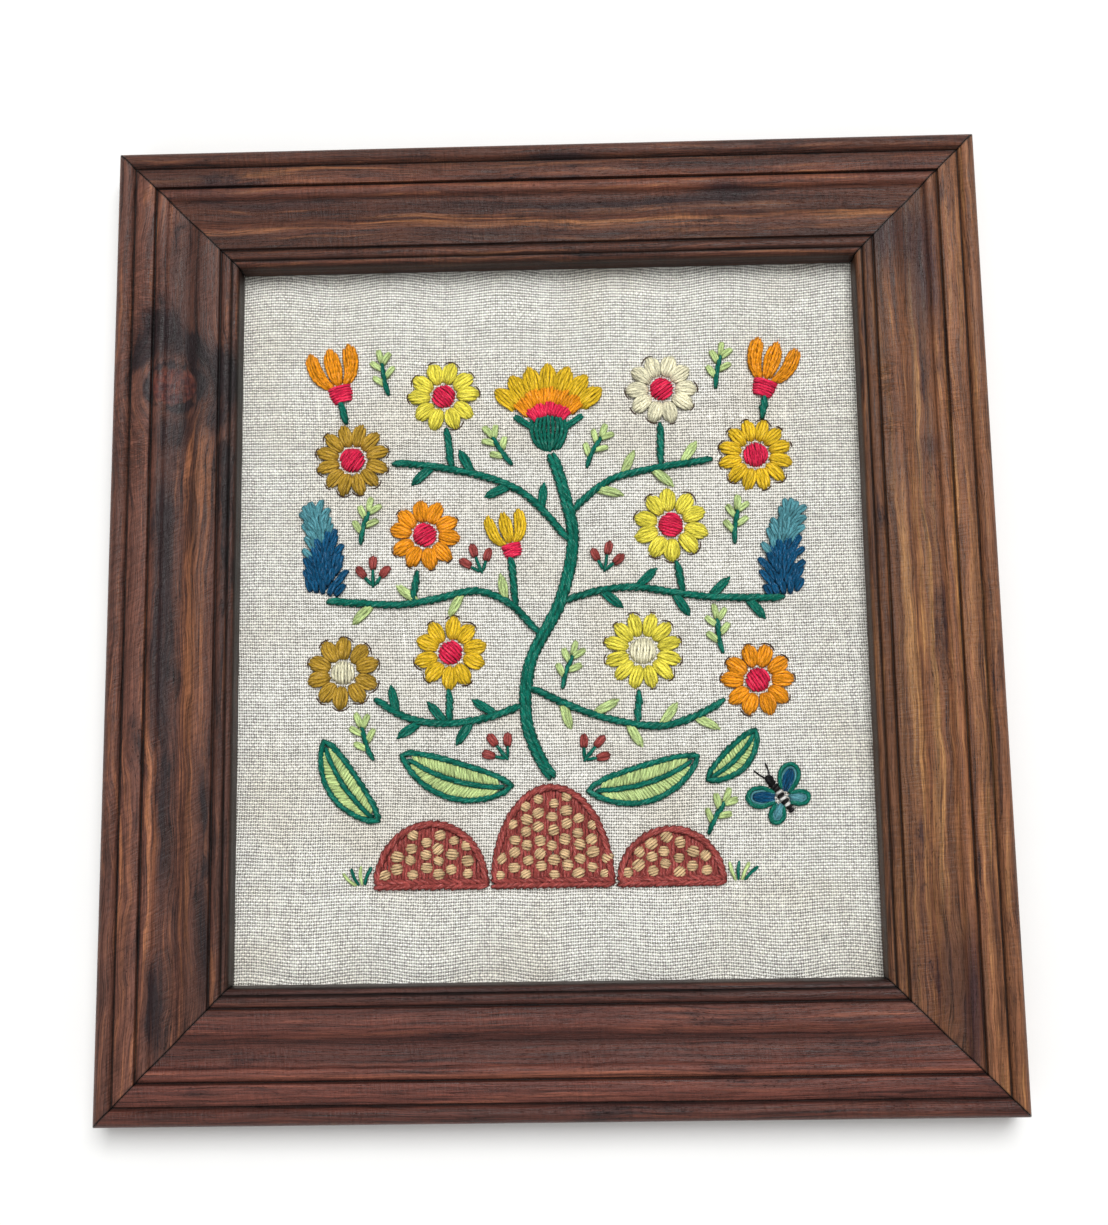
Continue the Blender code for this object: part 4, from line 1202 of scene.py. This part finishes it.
def spun(context, needle, name, sides=None, steps=None, fuzz=None):
    """The finished strands of a needle's work, as one piece."""
    settings = context.scene.crewel_wool
    made = add_piece(name, needle.guide())
    tree = strand_tree(len(needle.wools))
    modifier = made.modifiers.new("strands", "NODES")
    modifier.node_group = tree
    values = {
        "Sides": sides or settings.sides,
        "Steps": steps or settings.steps,
        "Twist": settings.twist,
        "Ply depth": settings.ply,
        "Flatness": settings.flat,
        "Fuzz": settings.fuzz if fuzz is None else fuzz,
        "Hair length": settings.hair,
    }
    for k, wool_name in enumerate(needle.wools):
        values[f"Wool {k + 1}"] = wool(context, wool_name)
    for item in tree.interface.items_tree:
        if item.in_out == "INPUT" and item.name in values:
            modifier[item.identifier] = values[item.name]
    mesh = work_in(context, made)
    for label in ("along", "spine", "thick", "ring_x", "ring_y", "width", "wool"):
        if label in mesh.attributes:
            mesh.attributes.remove(mesh.attributes[label])
    if not len(mesh.polygons):
        raise RuntimeError(f"{name} came out empty")
    return made


WORKED = []  # each piece of wool and its needle


def stitched(context, node, place, work, *sizes):
    """Replaces a node with the stitches that work() lays at a turn, x and y."""
    needle = Needle(node)
    needle.place = place
    work(needle, *sizes)
    made = spun(context, needle, f"{node}_stitches")
    mount(made, node)
    WORKED.append((made, needle))


# Flowers


def ray(radius, degrees):
    return radius * math.cos(math.radians(degrees)), radius * math.sin(math.radians(degrees))


def fan(needle, middle, half, inner, outer, count, wool_name, top, width=STRAND):
    """Satin stitches that spread from one radius to another, about an angle in degrees."""
    for k in needle.random.permutation(count):
        s = 2 * (k + 0.5) / count - 1
        angle = middle + half * s
        start = inner * needle.random.uniform(0.94, 1.06)
        end = outer * needle.random.uniform(0.93, 1.07)
        path = [ray(start, angle), ray((start + end) / 2, angle), ray(end, angle)]
        needle.lay(path, wool_name, top * (1 - 0.3 * s * s), width)


def petal(needle, angle, heel, tip, half, count, wool_name, top=1.5, ends=(0.42, 0.66), width=1.62):
    """A puffed lens of satin stitches along a radius; half is half its breadth."""
    length = tip - heel
    for k in needle.random.permutation(count):
        s = 2 * (k + 0.5) / count - 1
        start = heel + length * (0.07 * s * s + needle.random.uniform(0, 0.03))
        end = tip - length * (0.22 * abs(s) ** 2.2 + needle.random.uniform(0, 0.03))
        line = [
            (start, s * half * ends[0]),
            (start + (end - start) * 0.30, s * half * 0.84),
            (start + (end - start) * 0.66, s * half),
            (end, s * half * ends[1]),
        ]
        path = turned(flowing_path(line, 0.8), angle)
        needle.lay(path, wool_name, top * (1 - 0.42 * s * s), width, skew=0.07)


def printed_tip(needle, angle, heel, tip, half):
    """The printed guide line that shows round some of the petals' tips."""
    if needle.random.uniform() < 0.25:
        return
    first = needle.random.uniform(-1.1, -0.3)
    last = needle.random.uniform(0.3, 1.1)
    bend = [
        (tip + 0.25 - (tip - heel) * 0.24 * abs(s) ** 2.2, s * (half + 0.55))
        for s in np.linspace(first, last, 9)
    ]
    needle.lay(turned(bend, angle), "print", 0.16, 0.5, sink=0.10, skew=0.06)


def petals_round(needle, radius, tone, heart, leans, stray, heel, half, eye, strands, top):
    """Puffed petals in the directions given, with their printed lines, round a satin heart."""
    for lean in leans:
        lean += needle.random.uniform(-stray, stray)
        reach = radius * needle.random.uniform(0.94, 0.98)
        petal(needle, lean, radius * heel, reach, radius * half, strands, tone, top=top)
        printed_tip(needle, lean, radius * heel, reach, radius * half)
    needle.dot(0, 0, radius * eye, heart, turn=needle.random.uniform(0, 180), top=1.8)


def blossom(needle, radius, tone, heart):
    """Five heart-shaped petals, each of two puffed lobes."""
    leans = [middle + side * 16.4 for middle in range(0, 360, 72) for side in (-1, 1)]
    petals_round(
        needle, radius, tone, heart, leans, stray=1.2, heel=0.35, half=0.205, eye=0.315, strands=5,
        top=1.5,
    )


def roundel(needle, radius, tone, heart):
    """Twelve narrow petals."""
    leans = range(15, 360, 30)
    petals_round(
        needle, radius, tone, heart, leans, stray=1.5, heel=0.36, half=0.170, eye=0.32, strands=4,
        top=1.45,
    )


def mirrored(points):
    return np.asarray(points, float) * (1, -1)


def tulip(needle, radius, tone, heart):
    """A cup of three rounded petals on a satin base."""
    count = 5 if radius > 10 else 4
    petal(needle, 0, -0.30 * radius, 0.98 * radius, 0.25 * radius, count, tone, 1.7)
    outer = [(-0.34, 0.24), (-0.10, 0.64), (0.35, 0.78), (0.70, 0.80), (0.97, 0.70)]
    inner = [(-0.36, 0.08), (-0.02, 0.28), (0.36, 0.34), (0.66, 0.38), (0.96, 0.46)]
    outer, inner = (flowing_path(np.array(line) * radius, 1.0) for line in (outer, inner))
    for cheek in ((outer, inner), (mirrored(outer), mirrored(inner))):
        needle.along(*cheek, count, tone, 1.45, tip=0.13, width=1.6)
    base = flowing_path(np.array([(-0.82, 0.24), (-0.62, 0.34), (-0.30, 0.36)]) * radius, 0.5)
    needle.across(base, mirrored(base), heart, 1.35, spacing=1.05)


def carnation(needle, radius, tone, heart):
    """A fan with seven points over a green cup."""
    for lean in range(-48, 49, 16):
        reach = radius * (1.0 - 0.04 * abs(lean) / 48)
        petal(needle, lean, radius * 0.56, reach, radius * 0.118, 5, tone, ends=(0.7, 0.55))
    fan(needle, 0, 50, radius * 0.40, radius * 0.66, 25, "orange", 1.45, width=1.55)
    fan(needle, 0, 46, radius * 0.25, radius * 0.47, 16, heart, 1.35, width=1.5)
    cup = np.array([(-0.24, 0.06), (-0.10, 0.22), (0.10, 0.27), (0.30, 0.20)]) * radius
    cup = flowing_path(cup, 1.0)
    needle.along(cup, mirrored(cup), 9, "teal", 1.6, tip=0.10, heel=0.12, width=1.8)
    for side in (-1, 1):
        sepal = [ray(far * radius, side * lean) for far, lean in ((0.14, 72), (0.34, 67), (0.54, 62))]
        for gap in (0, 1.05):
            needle.lay(beside(flowing_path(sepal, 1.0), -side * gap), "teal", 0.9, 1.6)


def butterfly(needle, radius, tone, inner_tone):
    """Four corded wings with satin insides, and a striped body."""
    for side in (-1, 1):
        for lobe, size, half, inside in ((54, 1.0, 30, inner_tone), (126, 0.76, 26, "steel")):
            outline = []
            for s in np.linspace(-1, 1, 13):
                swell = math.cos(s * math.pi / 2) ** 0.55
                outline.append(ray(radius * (0.24 + (size * 0.93 - 0.24) * swell), lobe + half * s))
            outline = np.array(outline) * (1, side)
            heading = np.array(ray(1, lobe)) * (1, side)
            reached = outline @ heading
            off = outline - np.outer(reached, heading)
            for long, wide, wool_name, width in ((1.0, 1.0, tone, 1.65), (0.91, 0.70, "steel", 0.8)):
                loop = flowing_path(np.outer(reached * long, heading) + off * wide, 1.0)
                needle.rope(loop, wool_name, pitch=2.0, slant=0.25, top=1.0, width=width)
            inner = np.outer(reached * 0.86, heading) + off * 0.58
            needle.along(inner[:7], inner[:5:-1], 3, inside, 1.35, tip=0.1, heel=0.04, width=1.5)
    body = flowing_path([(-0.46 * radius, 0), (0, 0), (0.50 * radius, 0)], 1.0)
    taper = np.interp(np.linspace(0, 1, len(body)), (0, 0.3, 0.8, 1), (0.5, 1.0, 1.25, 1.1))
    left, right = beside(body, taper), beside(body, -taper)
    count = 10
    for k in range(count):
        share = (k + 0.5) / count
        stripe = "white" if k in (2, 4, 6) else "black"
        ends = [along_path(left, share), along_path(right, share)]
        needle.lay([ends[0], (ends[0] + ends[1]) / 2, ends[1]], stripe, 1.35, width=1.3, skew=0.04)
    needle.dot(0.58 * radius, 0, 1.3, "black", top=1.3)
    for side in (-1, 1):
        feeler = [(far * radius, off * side) for far, off in ((0.62, 0.4), (0.85, 1.8), (1.05, 2.6))]
        needle.lay(flowing_path(feeler, 0.5), "black", 0.35, width=0.6)


KINDS = {
    "blossom": blossom,
    "roundel": roundel,
    "tulip": tulip,
    "carnation": carnation,
    "butterfly": butterfly,
}


class CREWEL_OT_flowers(bpy.types.Operator):
    """Works the flowers and the butterfly, mostly in satin stitch"""

    bl_idname = "crewel.flowers"
    bl_label = "Flowers"

    def execute(self, context):
        for node, kind, tone, x, y, radius, turn, heart in MOTIFS:
            stitched(context, node, (turn, x, y), KINDS[kind], radius, tone, heart)
        return {"FINISHED"}


# Leaves and spikes


def blade_line(share, across, half_length, half_width, bend):
    """A line along a blade, at a share of its half width."""
    u = np.asarray(share) * 2 - 1
    side = np.clip(1 - u * u, 0, 1) ** 0.75
    return np.stack([u * half_length, across * half_width * side + bend * (1 - u * u)], -1)


def leaf_work(needle, half_length, half_width, bend):
    """A corded outline and midrib, filled with pale satin stitch."""
    shape = (half_length, half_width, bend)
    whole = np.linspace(0.0, 1.0, 25)
    inner = np.linspace(0.07, 0.93, 25)
    for side in (-1, 1):
        edge = blade_line(inner, side * 0.86, *shape)
        near = blade_line(inner, side * 0.08, *shape)
        needle.across(near, edge, "leaf", 0.85, 1.14, slant=0.07, first=0.03, last=0.93)
    for side in (-1, 1):
        outline = blade_line(whole, side * 0.88, *shape)
        needle.rope(outline, "teal", pitch=2.4, slant=0.55, top=1.25, width=1.8)
    needle.rope(blade_line(inner, 0, *shape), "teal", pitch=2.4, slant=0.4, top=1.3, width=1.7)


def spike_work(needle, half_length, half_width, bend):
    """A dense spike of small florets, each of two stitches, paler toward its tip."""
    shape = (half_length, half_width, bend)
    for first, last, tone in ((0.03, 0.56, "blue"), (0.48, 0.97, "steel")):
        share = np.linspace(first, last, 9)
        sides = [blade_line(share, 0.72 * side, *shape) for side in (-1, 1)]
        needle.along(*sides, 7, tone, 0.35, width=2.1)
    spine = blade_line(np.linspace(0, 1, 21), 0, *shape)
    rows = 14
    for row in range(rows - 1, -1, -1):
        share = 0.01 + 0.84 * row / (rows - 1)
        across = (-0.74, -0.25, 0.25, 0.74) if row % 2 else (-0.98, -0.49, 0.0, 0.49, 0.98)
        here = along_path(spine, share)
        heading = heading_of(here, along_path(spine, share + 0.05))
        belly = 0.58 + 0.42 * math.sin(math.pi * min(1, share + 0.25))
        spread = half_width * belly * (1 - 0.42 * share)
        for s in across:
            foot = here + np.array(ray(spread * s * 0.76, heading + 90))
            foot = foot + np.array(ray(needle.random.uniform(-0.5, 0.5), heading))
            lean = heading + s * needle.random.uniform(22, 46) + needle.random.uniform(-9, 9)
            pale = share + 0.10 * s + needle.random.uniform(-0.05, 0.05) > 0.48
            reach = needle.random.uniform(4.5, 5.4)
            floret = np.array([(0, 0), (reach * 0.5, 0), (reach, 0)])
            top = 1.75 - 0.5 * s * s + needle.random.uniform(-0.2, 0.2)
            for gap in (-0.66, 0.66):
                bowed = floret + [(0, gap * 0.35), (0, gap), (0, gap * 0.35)]
                path = turned(flowing_path(bowed, 0.8), lean, *foot)
                needle.lay(path, "steel" if pale else "blue", top, width=1.5, skew=0.06)


class CREWEL_OT_leaves(bpy.types.Operator):
    """Works the large leaves and the blue flower spikes"""

    bl_idname = "crewel.leaves"
    bl_label = "Leaves and spikes"

    def execute(self, context):
        for node, x, y, half_length, half_width, turn, bend, tone in BLADES:
            work = spike_work if tone == "blue" else leaf_work
            stitched(context, node, (turn, x, y), work, half_length, half_width, bend)
        return {"FINISHED"}


# Hillocks


def mound_work(needle, half_width, height):
    """Rows of rust wool laid up the hill, with padded tan dots between them."""

    def roof(at):
        return height * math.sqrt(max(0.0, 1 - (at / half_width) ** 2))

    columns = round(2 * half_width / COLUMN_PITCH)
    step = 2 * (half_width - COLUMN_MARGIN) / columns
    lanes = np.arange(-half_width + 1.8, half_width - 1.0, step / LANES)
    for n, at in enumerate(lanes):
        high = roof(at) - 1.5
        if high < 2.5:
            continue
        runs = max(1, round(high / RUN))
        top = 0.75 if n % LANES in (0, 1) else 0.40
        cuts = np.linspace(1.2, high, runs + 1)
        cuts[1:-1] += needle.random.uniform(-1.6, 1.6, runs - 1)
        for low, up in zip(cuts, cuts[1:]):
            low, up = max(0.9, low - 0.9), min(high + 0.6, up + 0.9)
            needle.lay([(at, low), (at, (low + up) / 2), (at, up)], "rust", top, width=1.7)
    for k in range(columns):
        x = -half_width + COLUMN_MARGIN + step * (k + 0.56)
        for n in range(int(height / DOT_PITCH)):
            y = 4.3 + DOT_PITCH * n + 2.3 * (k % 2)
            if y < roof(x) - 3.2 and y < roof(abs(x) + 1.6) - 2.4:
                needle.dot(
                    x + needle.random.uniform(-0.6, 0.6), y + needle.random.uniform(-0.6, 0.6),
                    needle.random.uniform(1.45, 1.95), "tan", turn=needle.random.uniform(-30, 45),
                    top=2.0, stretch=needle.random.uniform(1.05, 1.35), width=1.12,
                )
    angles = np.linspace(0.02, math.pi - 0.02, 61)
    rim = [(math.cos(a) * (half_width - 1.3), 0.8 + math.sin(a) * (height - 2.1)) for a in angles]
    needle.rope(rim, "rust", pitch=2.5, slant=0.85, top=1.5, width=1.9)
    foot = [(-half_width + 0.6, 1.2), (0, 1.2), (half_width - 0.6, 1.2)]
    needle.rope(
        foot, "rust", rows=2, pitch=2.3, slant=0.8, row_gap=1.5, top=1.4, width=1.75, reach=2.4,
        plait=True,
    )


class CREWEL_OT_hillocks(bpy.types.Operator):
    """Works the hillocks with laid rows and padded dots"""

    bl_idname = "crewel.hillocks"
    bl_label = "Hillocks"

    def execute(self, context):
        for node, x, half_width, height in MOUNDS:
            stitched(context, node, (0.0, x, MOUND_FOOT), mound_work, half_width, height)
        return {"FINISHED"}


# Stems


def places():
    """Each flower's middle and the radius that a stem stops at, by name."""
    found = {}
    for name, kind, _, x, y, radius, _, _ in MOTIFS:
        found[name] = (x, y, radius * STEM_STOPS.get(kind, 1.0))
    for name, x, y, half_length, _, turn, _, _ in BLADES:
        found[name] = (*turned((-half_length, 0), turn, x, y), BLADE_STOP)
    return found


def trimmed(way, source, source_clear, goal, goal_clear):
    """The stretch of a way that is clear of the points it leaves and of the place it reaches."""
    from_source = np.linalg.norm(way[:, None] - np.atleast_2d(source)[None], axis=2).min(1)
    from_goal = np.linalg.norm(way - np.asarray(goal), axis=1)
    kept = way[(from_source > source_clear) & (from_goal > goal_clear)]
    return flowing_path(kept[:: max(1, (len(kept) - 1) // 6)], 1.0)


def stem_paths():
    """Name, path, rows and leaflets of every stem."""
    spot = places()
    trunk = flowing_path(TRUNK, 1)
    found = [("trunk", trunk, 2, 0)]
    ways = {}
    for name, goal, leaflets, way in STEMS:
        ways[name] = flowing_path(way, 0.5)
        x, y, radius = spot[goal]
        found.append((name, trimmed(ways[name], trunk, 1.6, (x, y), radius), 1, leaflets))
    for name, source, share, goal in TWIGS:
        x, y, radius = spot[goal]
        if source in ways:
            leaves = ways[source]
            start = leaves[round(share * (len(leaves) - 1))]
            clear = 0.9
        else:
            start = leaves = spot[source][:2]
            clear = spot[source][2]
        way = flowing_path([start, (x, y)], 0.5)
        found.append((name, trimmed(way, leaves, clear, (x, y), radius), 1, 0))
    return found


def leaflet_work(needle, x, y, turn, tone):
    """A small leaf of three satin strands, its foot on the stem."""
    place = needle.place
    needle.place = (turn, x, y)
    half_length, half_width = LEAFLET
    petal(needle, 0, -0.5, 2 * half_length, half_width * 0.88, 3, tone, 1.25, ends=(0.42, 0.40))
    needle.place = place


def stem_work(needle, path, rows, leaflets, tone):
    """Leaflets to either side, and the stem in stem stitch over their feet."""
    for i in range(leaflets):
        side = 1 if i % 2 else -1
        share = (i + 1) / (leaflets + 1)
        here = along_path(path, share)
        heading = heading_of(here, along_path(path, share + 0.01))
        leaflet_work(needle, *here, heading + side * LEAFLET_LEAN, tone)
    needle.rope(path, "teal", rows=rows, row_gap=1.7, pitch=2.4, slant=0.8, top=1.3, width=1.95)


class CREWEL_OT_stems(bpy.types.Operator):
    """Works the trunk, the stems and their leaflets in stem stitch"""

    bl_idname = "crewel.stems"
    bl_label = "Stems"

    def execute(self, context):
        for node, path, rows, leaflets in stem_paths():
            tone = "leaf" if node in PALE_LEAVED else "teal"
            stitched(context, node, (0.0, 0.0, 0.0), stem_work, path, rows, leaflets, tone)
        return {"FINISHED"}


# Small trim


def sprig(needle, x, y, turn):
    """A green stalk with five pale leaves."""
    needle.place = (turn, x, y)
    needle.rope([(-8, 0), (-2, 0.5), (4, 0)], "teal", pitch=2.2, slant=0.45, top=1.0, width=1.6)
    for at, lean in SPRIG_LEAVES:
        needle.place = (turn, *turned((at, 0.3), turn, x, y))
        petal(needle, lean, 0.4, 6.0, 1.15, 2, "leaf", 1.1, ends=(0.5, 0.5), width=1.5)


def berries(needle, x, y, turn):
    """Three rust berries on stalks from one foot."""
    needle.place = (turn, *turned((-5.5, 0), turn, x, y))
    widest = BERRY_STALKS[-1][0]
    for lean, reach in BERRY_STALKS:
        stalk = [ray(1.2 * abs(lean) / widest, lean), ray(reach * 0.55, lean), ray(reach, lean)]
        needle.rope(stalk, "teal", pitch=1.9, slant=0.2, top=0.75, width=1.2)
        petal(needle, lean, reach, reach + 4.8, 1.4, 3, "rust", 1.35, ends=(0.6, 0.55), width=1.5)


def tuft(needle, x, y, turn):
    """Four blades of grass."""
    for k, lean in enumerate(TUFT_LEANS):
        needle.place = (turn + lean, x + 0.9 * (1.5 - k), y)
        needle.lay([(0, 0), (3.4, 0.4), (6.6, 0)], "leaf" if k % 2 else "teal", 0.7)


class CREWEL_OT_trim(bpy.types.Operator):
    """Works the sprigs, berries and grass that fill the spaces"""

    bl_idname = "crewel.trim"
    bl_label = "Small trim"

    def execute(self, context):
        needle = Needle("small_trim")
        for work, spots in ((sprig, SPRIGS), (berries, BERRIES), (tuft, TUFTS)):
            for spot in spots:
                work(needle, *spot)
        made = spun(context, needle, "small_trim_stitches")
        mount(made, "trunk", stands_for=False)
        WORKED.append((made, needle))
        return {"FINISHED"}


# The reverse side


class CREWEL_OT_reverse(bpy.types.Operator):
    """Carries each thread across the back of the linen to its next stitch"""

    bl_idname = "crewel.reverse"
    bl_label = "Reverse side"

    def execute(self, context):
        under = context.scene.crewel_linen.thickness / MM + CARRY_GAP
        needles = [Needle("reverse_first"), Needle("reverse_second")]
        for number, (_, front) in enumerate(WORKED):
            needle = needles[number % 2]
            for last, following in zip(front.strands, front.strands[1:]):
                start, end = last[0][-1, :2], following[0][0, :2]
                gap = np.linalg.norm(end - start)
                same = last[2] == following[2] and front.wools[last[2]] != "print"
                if same and CARRY[0] < gap < CARRY[1]:
                    needle.lay([start, (start + end) / 2, end], front.wools[last[2]], 0.4, sink=0.4)
                    path = needle.strands[-1][0]
                    path[:, 2] = -under - path[:, 2]
        for number, needle in enumerate(needles):
            made = spun(context, needle, f"reverse_stitches_{number + 1}", sides=6, steps=5, fuzz=0.0)
            mount(made, "trunk", stands_for=False)
            WORKED.append((made, needle))
        return {"FINISHED"}


# The stage


class CREWEL_OT_stage(bpy.types.Operator):
    """Sets the floor, the soft lights and the camera"""

    bl_idname = "crewel.stage"
    bl_label = "Stage"

    def execute(self, context):
        settings = context.scene.crewel_stage
        self.lay_floor(settings)
        self.light(context.scene, settings)
        self.aim(context.scene, settings)
        return {"FINISHED"}

    def lay_floor(self, settings):
        corners = [(x * FLOOR_HALF, y * FLOOR_HALF, 0) for x, y in ((-1, -1), (1, -1), (1, 1), (-1, 1))]
        mesh = bpy.data.meshes.new("floor")
        mesh.from_pydata(corners, [], [(0, 1, 2, 3)])
        material, t = new_material("floor")
        grain = t.noise(t.node("ShaderNodeTexCoord", output="Object"), 40.0, 3.0)
        surface(t, Base_Color=t.shade(tuple(settings.floor), 0.985 + grain * 0.03), Roughness=0.9)
        floor = add_piece("floor", mesh, [material])
        floor.location.z = -FLOOR_DROP

    def light(self, scene, settings):
        world = bpy.data.worlds.new("room")
        world.use_nodes = True
        sky = world.node_tree.nodes["Background"].inputs
        sky["Color"].default_value = (1, 1, 1, 1)
        sky["Strength"].default_value = settings.sky
        scene.world = world
        for name, (size, place) in LIGHTS.items():
            lamp = bpy.data.lights.new(name, "AREA")
            lamp.energy = getattr(settings, name)
            lamp.size = size
            light = bpy.data.objects.new(name, lamp)
            light.location = place
            light.rotation_euler = (-Vector(place)).to_track_quat("-Z", "Y").to_euler()
            scene.collection.objects.link(light)

    def aim(self, scene, settings):
        lens = bpy.data.cameras.new("camera")
        lens.sensor_width = SENSOR
        lens.lens = settings.lens
        lens.clip_start, lens.clip_end = CLIP
        camera = bpy.data.objects.new("camera", lens)
        ahead = Vector(CAMERA_AHEAD).normalized()
        up = Vector(CAMERA_RIGHT).normalized().cross(ahead).normalized()
        turn = Matrix((ahead.cross(up), up, -ahead)).transposed().to_4x4()
        camera.matrix_world = Matrix.Translation(CAMERA_PLACE) @ turn
        scene.collection.objects.link(camera)
        scene.camera = camera
        scene.view_settings.view_transform = "Standard"


class CREWEL_PT_panel(bpy.types.Panel):
    """Lists the steps in the 3D view's sidebar"""

    bl_idname = "CREWEL_PT_panel"
    bl_label = "Crewel panel"
    bl_space_type = "VIEW_3D"
    bl_region_type = "UI"
    bl_category = "Crewel"

    def draw(self, context):
        for operator in OPERATORS:
            self.layout.operator(operator.bl_idname)


SETTINGS = {
    "crewel_frame": FrameSettings,
    "crewel_linen": LinenSettings,
    "crewel_wool": WoolSettings,
    "crewel_stage": StageSettings,
}
OPERATORS = (
    CREWEL_OT_stage,
    CREWEL_OT_frame,
    CREWEL_OT_linen,
    CREWEL_OT_flowers,
    CREWEL_OT_leaves,
    CREWEL_OT_hillocks,
    CREWEL_OT_stems,
    CREWEL_OT_trim,
    CREWEL_OT_reverse,
)


def register():
    for name, group in SETTINGS.items():
        bpy.utils.register_class(group)
        setattr(bpy.types.Scene, name, PointerProperty(type=group))
    for operator in OPERATORS:
        bpy.utils.register_class(operator)
    bpy.utils.register_class(CREWEL_PT_panel)


def unregister():
    bpy.utils.unregister_class(CREWEL_PT_panel)
    for operator in reversed(OPERATORS):
        bpy.utils.unregister_class(operator)
    for name, group in reversed(SETTINGS.items()):
        delattr(bpy.types.Scene, name)
        bpy.utils.unregister_class(group)


def main():
    register()
    for operator in OPERATORS:
        _, step = operator.bl_idname.split(".")
        getattr(bpy.ops.crewel, step)()


if __name__ == "__main__":
    main()
